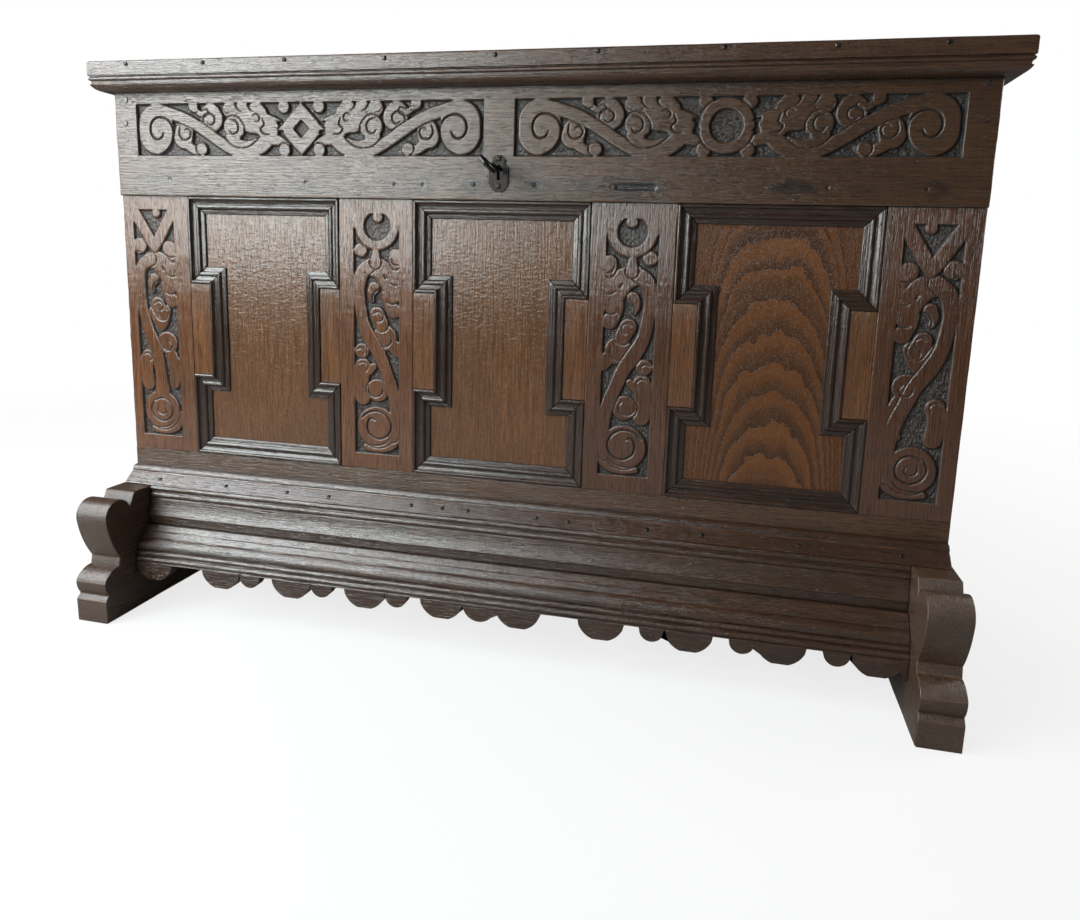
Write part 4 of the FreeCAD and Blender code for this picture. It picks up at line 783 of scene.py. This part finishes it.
# A pierced lozenge stands in the left panel and a ring in the right one; their holes are cut to the ground.
lozengeX, lozengeZ, lozengeHole = -306, 744.8, (12.3, 12.5)
ringX, ringZ, ringRadius, ringHole = 299.5, 745.5, 35.5, 21.5
lozenge = [(lozengeX, 783), (lozengeX + 37.5, lozengeZ), (lozengeX, 706.5), (lozengeX - 37.5, lozengeZ)]
lozengeInside = np.array([(lozengeX, lozengeZ - lozengeHole[1]), (lozengeX - lozengeHole[0], lozengeZ),
                          (lozengeX, lozengeZ + lozengeHole[1]), (lozengeX + lozengeHole[0], lozengeZ)])
ringInside = np.array([(ringX + ringHole * math.cos(turn), ringZ + ringHole * math.sin(turn))
                       for turn in [math.pi * i / 24 for i in range(48)]])
railPanels = []
for (panelLeft, panelRight), designEnds, middle, centre, hole in (
        (friezeValues["panels"][0], (-583, -29), lozengeX, lozenge, lozengeInside),
        (friezeValues["panels"][1], (18, 581), ringX, disc(ringX, ringZ, ringRadius), ringInside)):
    border = (panelLeft, panelRight, friezeValues["low"], friezeValues["high"])
    railPanels.append((border, friezeDesign(*designEnds, middle, centre), (hole,)))
carvedBoard("front_top_rail", waxedOak, "X", friezeValues["face"], friezeValues["front"],
            railPanels, carvingValues["deepest"], (True, True, True, True), railMarks,
            np.arange(*markValues["rows"]))
print("frieze board carved")

for node, middle, side, parts, strap, scroll in (
        ("front_stile_left", -567, 1, ["foot", "heart", "head", "vee"], steepStrap, "ringScroll"),
        ("front_muntin_left", -191.5, 1, ["foot", "rounds", "head", "ring"], sStrap, "broadScroll"),
        ("front_muntin_right", 185, -1, ["foot", "rounds", "head", "ring"], sStrap, "broadScroll"),
        ("front_stile_right", 564, -1, ["foot", "heart", "head", "vee"], sStrap, "ringScroll")):
    lowCorner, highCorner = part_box(node)
    face = (lowCorner.x / mm, highCorner.x / mm, uprightValues["low"], uprightValues["high"])
    half = uprightValues["half"]
    border = (middle - half, middle + half, uprightValues["fieldLow"], uprightValues["fieldHigh"])
    # the right-hand uprights take the darker copy of their oak, as painted shade
    carvedBoard(node, shadedUprightOak if middle > 0 else uprightOak, "Z", face,
                uprightValues["front"], [(border, uprightDesign(middle, side, parts, strap, scroll), ())],
                uprightValues["deepest"], (True, True, False, False))
print("uprights carved")

# How each kind of board was worn, in mm: arrises, cuts across, dents, and wear of the arrises.
plain = {"arris": 1.2, "step": 16, "depth": 0.3, "edgeDepth": 0.6}
sawn = dict(plain, step=40)
moulded = {"arris": 0.5, "step": 11, "depth": 0.25, "edgeDepth": 0.35}
plinthWorn = dict(moulded, step=10, depth=0.6, edgeDepth=0.7)
aged("front_bottom_rail", "worn", waxedOak, "carcase", "oak_rails", "X", **plain)
for side in ("left", "centre", "right"):
    finish, cut = (figuredOak, "figured") if side == "right" else (quarteredOak, "quarter")
    aged("front_panel_" + side, "planed", finish, "carcase", "oak_panels", "Z", cut=cut, arris=0.6, step=12,
         depth=0.35)
    aged("panel_moulding_" + side, "worn", mouldingOak, "carcase", "oak_panel_mouldings", "Z", cut="strips",
         **dict(moulded, arris=0.4, step=9))
aged("panel_blocks", "worn", blockOak, "carcase", "oak_blocks", "Z", arris=0.8, step=12, depth=0.3)
aged("plinth_fascia", "worn", plinthOak, "carcase", "oak_plinth", "X", **dict(plain, step=10, depth=0.6))
aged("plinth_moulding", "worn", plinthOak, "carcase", "oak_plinth", "X", **plinthWorn)
aged("plinth_apron", "worn", plinthOak, "carcase", "oak_plinth", "X", **dict(plinthWorn, edgeDepth=0.8))
for side in ("left", "right"):
    aged("sledge_foot_" + side, "worn", footOak, "carcase", "oak_feet", "Y", arris=2.0, step=10, depth=1.0,
         edgeDepth=1.4)
    for end in ("front", "back"):
        aged("side_post_" + end + "_" + side, "worn", sideOak, "carcase", "oak_posts", "Z", **plain)
    for end in ("top", "bottom"):
        aged("side_rail_" + end + "_" + side, "worn", sideOak, "carcase", "oak_side_rails", "Y",
             cut="quarter", **plain)
    aged("side_panel_" + side, "planed", quarteredOak, "carcase", "oak_side_panels", "Z", cut="quarter",
         arris=0.6, step=14, depth=0.4)
    aged("lid_cleat_" + side, "worn", lidOak, "lid", "oak_cleats", "Y", **plain)
    aged("lid_moulding_" + side, "worn", lidMouldingOak, "lid", "oak_lid_moulding_sides", "Y",
         **dict(moulded, edgeDepth=0.6))
aged("lid_moulding_front", "worn", lidMouldingOak, "lid", "oak_lid_moulding_front", "X",
     **dict(moulded, step=10, depth=0.45, edgeDepth=0.7))
for board in ("front", "middle", "back"):
    aged("lid_board_" + board, "worn", lidOak, "lid", "oak_lid", "X", cut="quarter", **plain)
    aged("floor_board_" + board, "sawn", dryOak, "carcase", "oak_floor", "X", **sawn)
for board in ("lower", "middle", "upper"):
    aged("back_board_" + board, "sawn", dryOak, "carcase", "oak_back", "X", **sawn)
aged("floor_bearers", "sawn", dryOak, "carcase", "oak_bearers", "Y", cut="strips", **sawn)
aged("joint_pegs", "cleft", pegOak, "carcase", "oak_pegs", "Y", arris=0.5, step=8, depth=0.2)
print("boards aged")


def forged(node, state, finish, body, slot, arris=0.5, depth=0.3, step=6, size=9):
    # an iron piece with eased edges and hammer marks of a size in mm
    mesh = cadMesh(node)
    ease(mesh, sharpEdges(mesh, 32), arris)
    corners = np.array([v.co for v in mesh.verts])
    cutAcross(mesh, int(np.argmax(corners.max(0) - corners.min(0))), step)
    weather(mesh, depth * mm, size * mm)
    piece(node + "_" + state, mesh, finish, body, node)


small = {"step": 3, "size": 6}
for side in ("left", "right"):
    forged("hinge_strap_" + side, "forged", forgedIron, "lid", "iron_hinges", arris=0.6, depth=0.4)
    forged("hinge_leaf_" + side, "forged", forgedIron, "carcase", "iron_hinges", arris=0.5)
forged("hinge_pins", "forged", forgedIron, "carcase", "iron_hinges", arris=0.4, depth=0.1)
forged("lock_case", "forged", lockIron, "carcase", "iron_lock", arris=0.7, depth=0.4)
forged("lock_bolt", "filed", lockIron, "bolt", "iron_lock", arris=0.3, depth=0.1)
forged("lock_spring", "forged", lockIron, "carcase", "iron_lock", arris=0.2, depth=0.05)
forged("lid_staple", "forged", lockIron, "lid", "iron_lock", arris=0.6, depth=0.3)
forged("lock_fixings", "forged", nailIron, "carcase", "iron_fixings", arris=0.4, depth=0.15)
forged("escutcheon", "cut", forgedIron, "carcase", "iron_escutcheon", arris=0.35, depth=0.15, **small)
forged("key", "filed", keyIron, "key", "steel_key", arris=0.3, depth=0.12, **small)
for node, body in (("plinth_nails", "carcase"), ("lid_moulding_nails", "lid"), ("hinge_strap_nails", "lid"),
                   ("hinge_leaf_nails", "carcase")):
    # forged heads, rounded by hammering and rust
    nails = cadMesh(node)
    bmesh.ops.bevel(nails, geom=nails.edges[:], offset=0.9 * mm, segments=1, affect="EDGES",
                    clamp_overlap=True)
    bmesh.ops.subdivide_edges(nails, edges=nails.edges[:], cuts=1, use_grid_fill=True)
    for _ in range(3):
        bmesh.ops.smooth_vert(nails, verts=nails.verts, factor=0.5, use_axis_x=True, use_axis_y=True,
                              use_axis_z=True)
    weather(nails, 0.25 * mm, 2.5 * mm)
    piece(node + "_forged", nails, nailIron, body, node, 60, even=False)
print("iron forged")

# A pale paper floor, white where the camera sees it far off, and a white room.
paperValues = {"lit": "#8c8c8c", "seen": "#f2f2f2", "whiteFrom": 0.8, "whiteTo": 2.6, "white": 0.78,
               "half": 12}
half = paperValues["half"]
floorMesh = bpy.data.meshes.new("floor")
floorMesh.from_pydata([(-half, -half, 0), (half, -half, 0), (half, half, 0), (-half, half, 0)], [],
                      [(0, 1, 2, 3)])
floor = newObject("floor", floorMesh)
paper, tree = emptyMaterial("paleFloor")
seen = add(tree, "LightPath")["Is Camera Ray"]
tint = add(tree, "Mix", {0: seen, 6: linear(paperValues["lit"]), 7: linear(paperValues["seen"])},
           data_type="RGBA")[2]
matt = add(tree, "BsdfDiffuse", {"Color": tint})
white = add(tree, "Emission", {"Color": (1, 1, 1, 1), "Strength": 1.0})
place = add(tree, "TexCoord")["Object"]
far = add(tree, "VectorMath", {0: place}, operation="LENGTH")[1]
share = add(tree, "MapRange", {0: far, 1: paperValues["whiteFrom"], 2: paperValues["whiteTo"],
            3: paperValues["white"], 4: 1.0})[0]
share = add(tree, "Math", {0: seen, 1: share}, operation="MULTIPLY")[0]
both = add(tree, "MixShader", {0: share, 1: matt[0], 2: white[0]})
add(tree, "OutputMaterial", {0: both[0]})
floorMesh.materials.append(paper)

sky = bpy.data.worlds.new("studio")
bpy.context.scene.world = sky
sky.use_nodes = True
tree = sky.node_tree
tree.nodes.clear()
rays = add(tree, "LightPath")
seen = add(tree, "Math", {0: rays["Is Camera Ray"], 1: rays["Is Transmission Ray"]}, operation="MAXIMUM")[0]
skyLight = 0.08
strength = add(tree, "MapRange", {0: seen, 1: 0.0, 2: 1.0, 3: skyLight, 4: 1.0})[0]
air = add(tree, "Background", {"Color": (1, 1, 1, 1), "Strength": strength})
add(tree, "OutputWorld", {0: air[0]})

# Soft lamps: where each stands and what it is turned to, its width and height in m, watts and colour. The
# back and the right side have their own soft windows, which don't reach the front.
lampValues = {
    "window": ((-1.38, -1.9, 1.05), (-0.5, 0.0, 0.9), 1.5, 1.1, 46, (0.89, 0.98, 0.98)),
    "sideWindow": ((-1.6, -0.9, 1.65), (-0.3, -0.2, 0.3), 1.3, 1.3, 43, (0.92, 0.97, 1.0)),
    "fill": ((0.2, -2.8, 1.6), (0.1, 0, 0.4), 2.2, 1.6, 8, (1.0, 0.97, 0.93)),
    "backWindow": ((-0.5, 2.7, 1.5), (0.0, 0.3, 0.4), 2.2, 1.6, 48, (1.0, 0.98, 0.95)),
    "rightWindow": ((2.7, 0.7, 1.3), (0.6, 0.1, 0.4), 1.8, 1.4, 36, (1.0, 0.98, 0.95)),
}
for name, (place, aim, wide, tall, power, colour) in lampValues.items():
    light = bpy.data.lights.new(name, "AREA")
    light.shape = "RECTANGLE"
    light.size, light.size_y = wide, tall
    light.energy = power
    light.color = colour
    lamp = newObject(name, light)
    lamp.location = place
    lamp.rotation_euler = (Vector(aim) - Vector(place)).to_track_quat("-Z", "Y").to_euler()
    lamp.visible_glossy = name != "fill"

cameraValues = {
    "place": (0.3131, -1.2807, 0.5688), "lens": 26.17, "shift": (-0.006, -0.0667),
    "right": (0.9744, 0.2229, 0.0302), "up": (-0.0652, 0.1515, 0.9863), "back": (0.2153, -0.963, 0.1622),
}
eye = bpy.data.cameras.new("camera")
eye.sensor_width = 36
eye.lens = cameraValues["lens"]
eye.shift_x, eye.shift_y = cameraValues["shift"]
camera = newObject("camera", eye)
turn = Matrix([cameraValues[key] for key in ("right", "up", "back")]).transposed().to_4x4()
camera.matrix_world = Matrix.Translation(cameraValues["place"]) @ turn
bpy.context.scene.camera = camera
bpy.context.scene.view_settings.view_transform = "Standard"

print("scene ready")
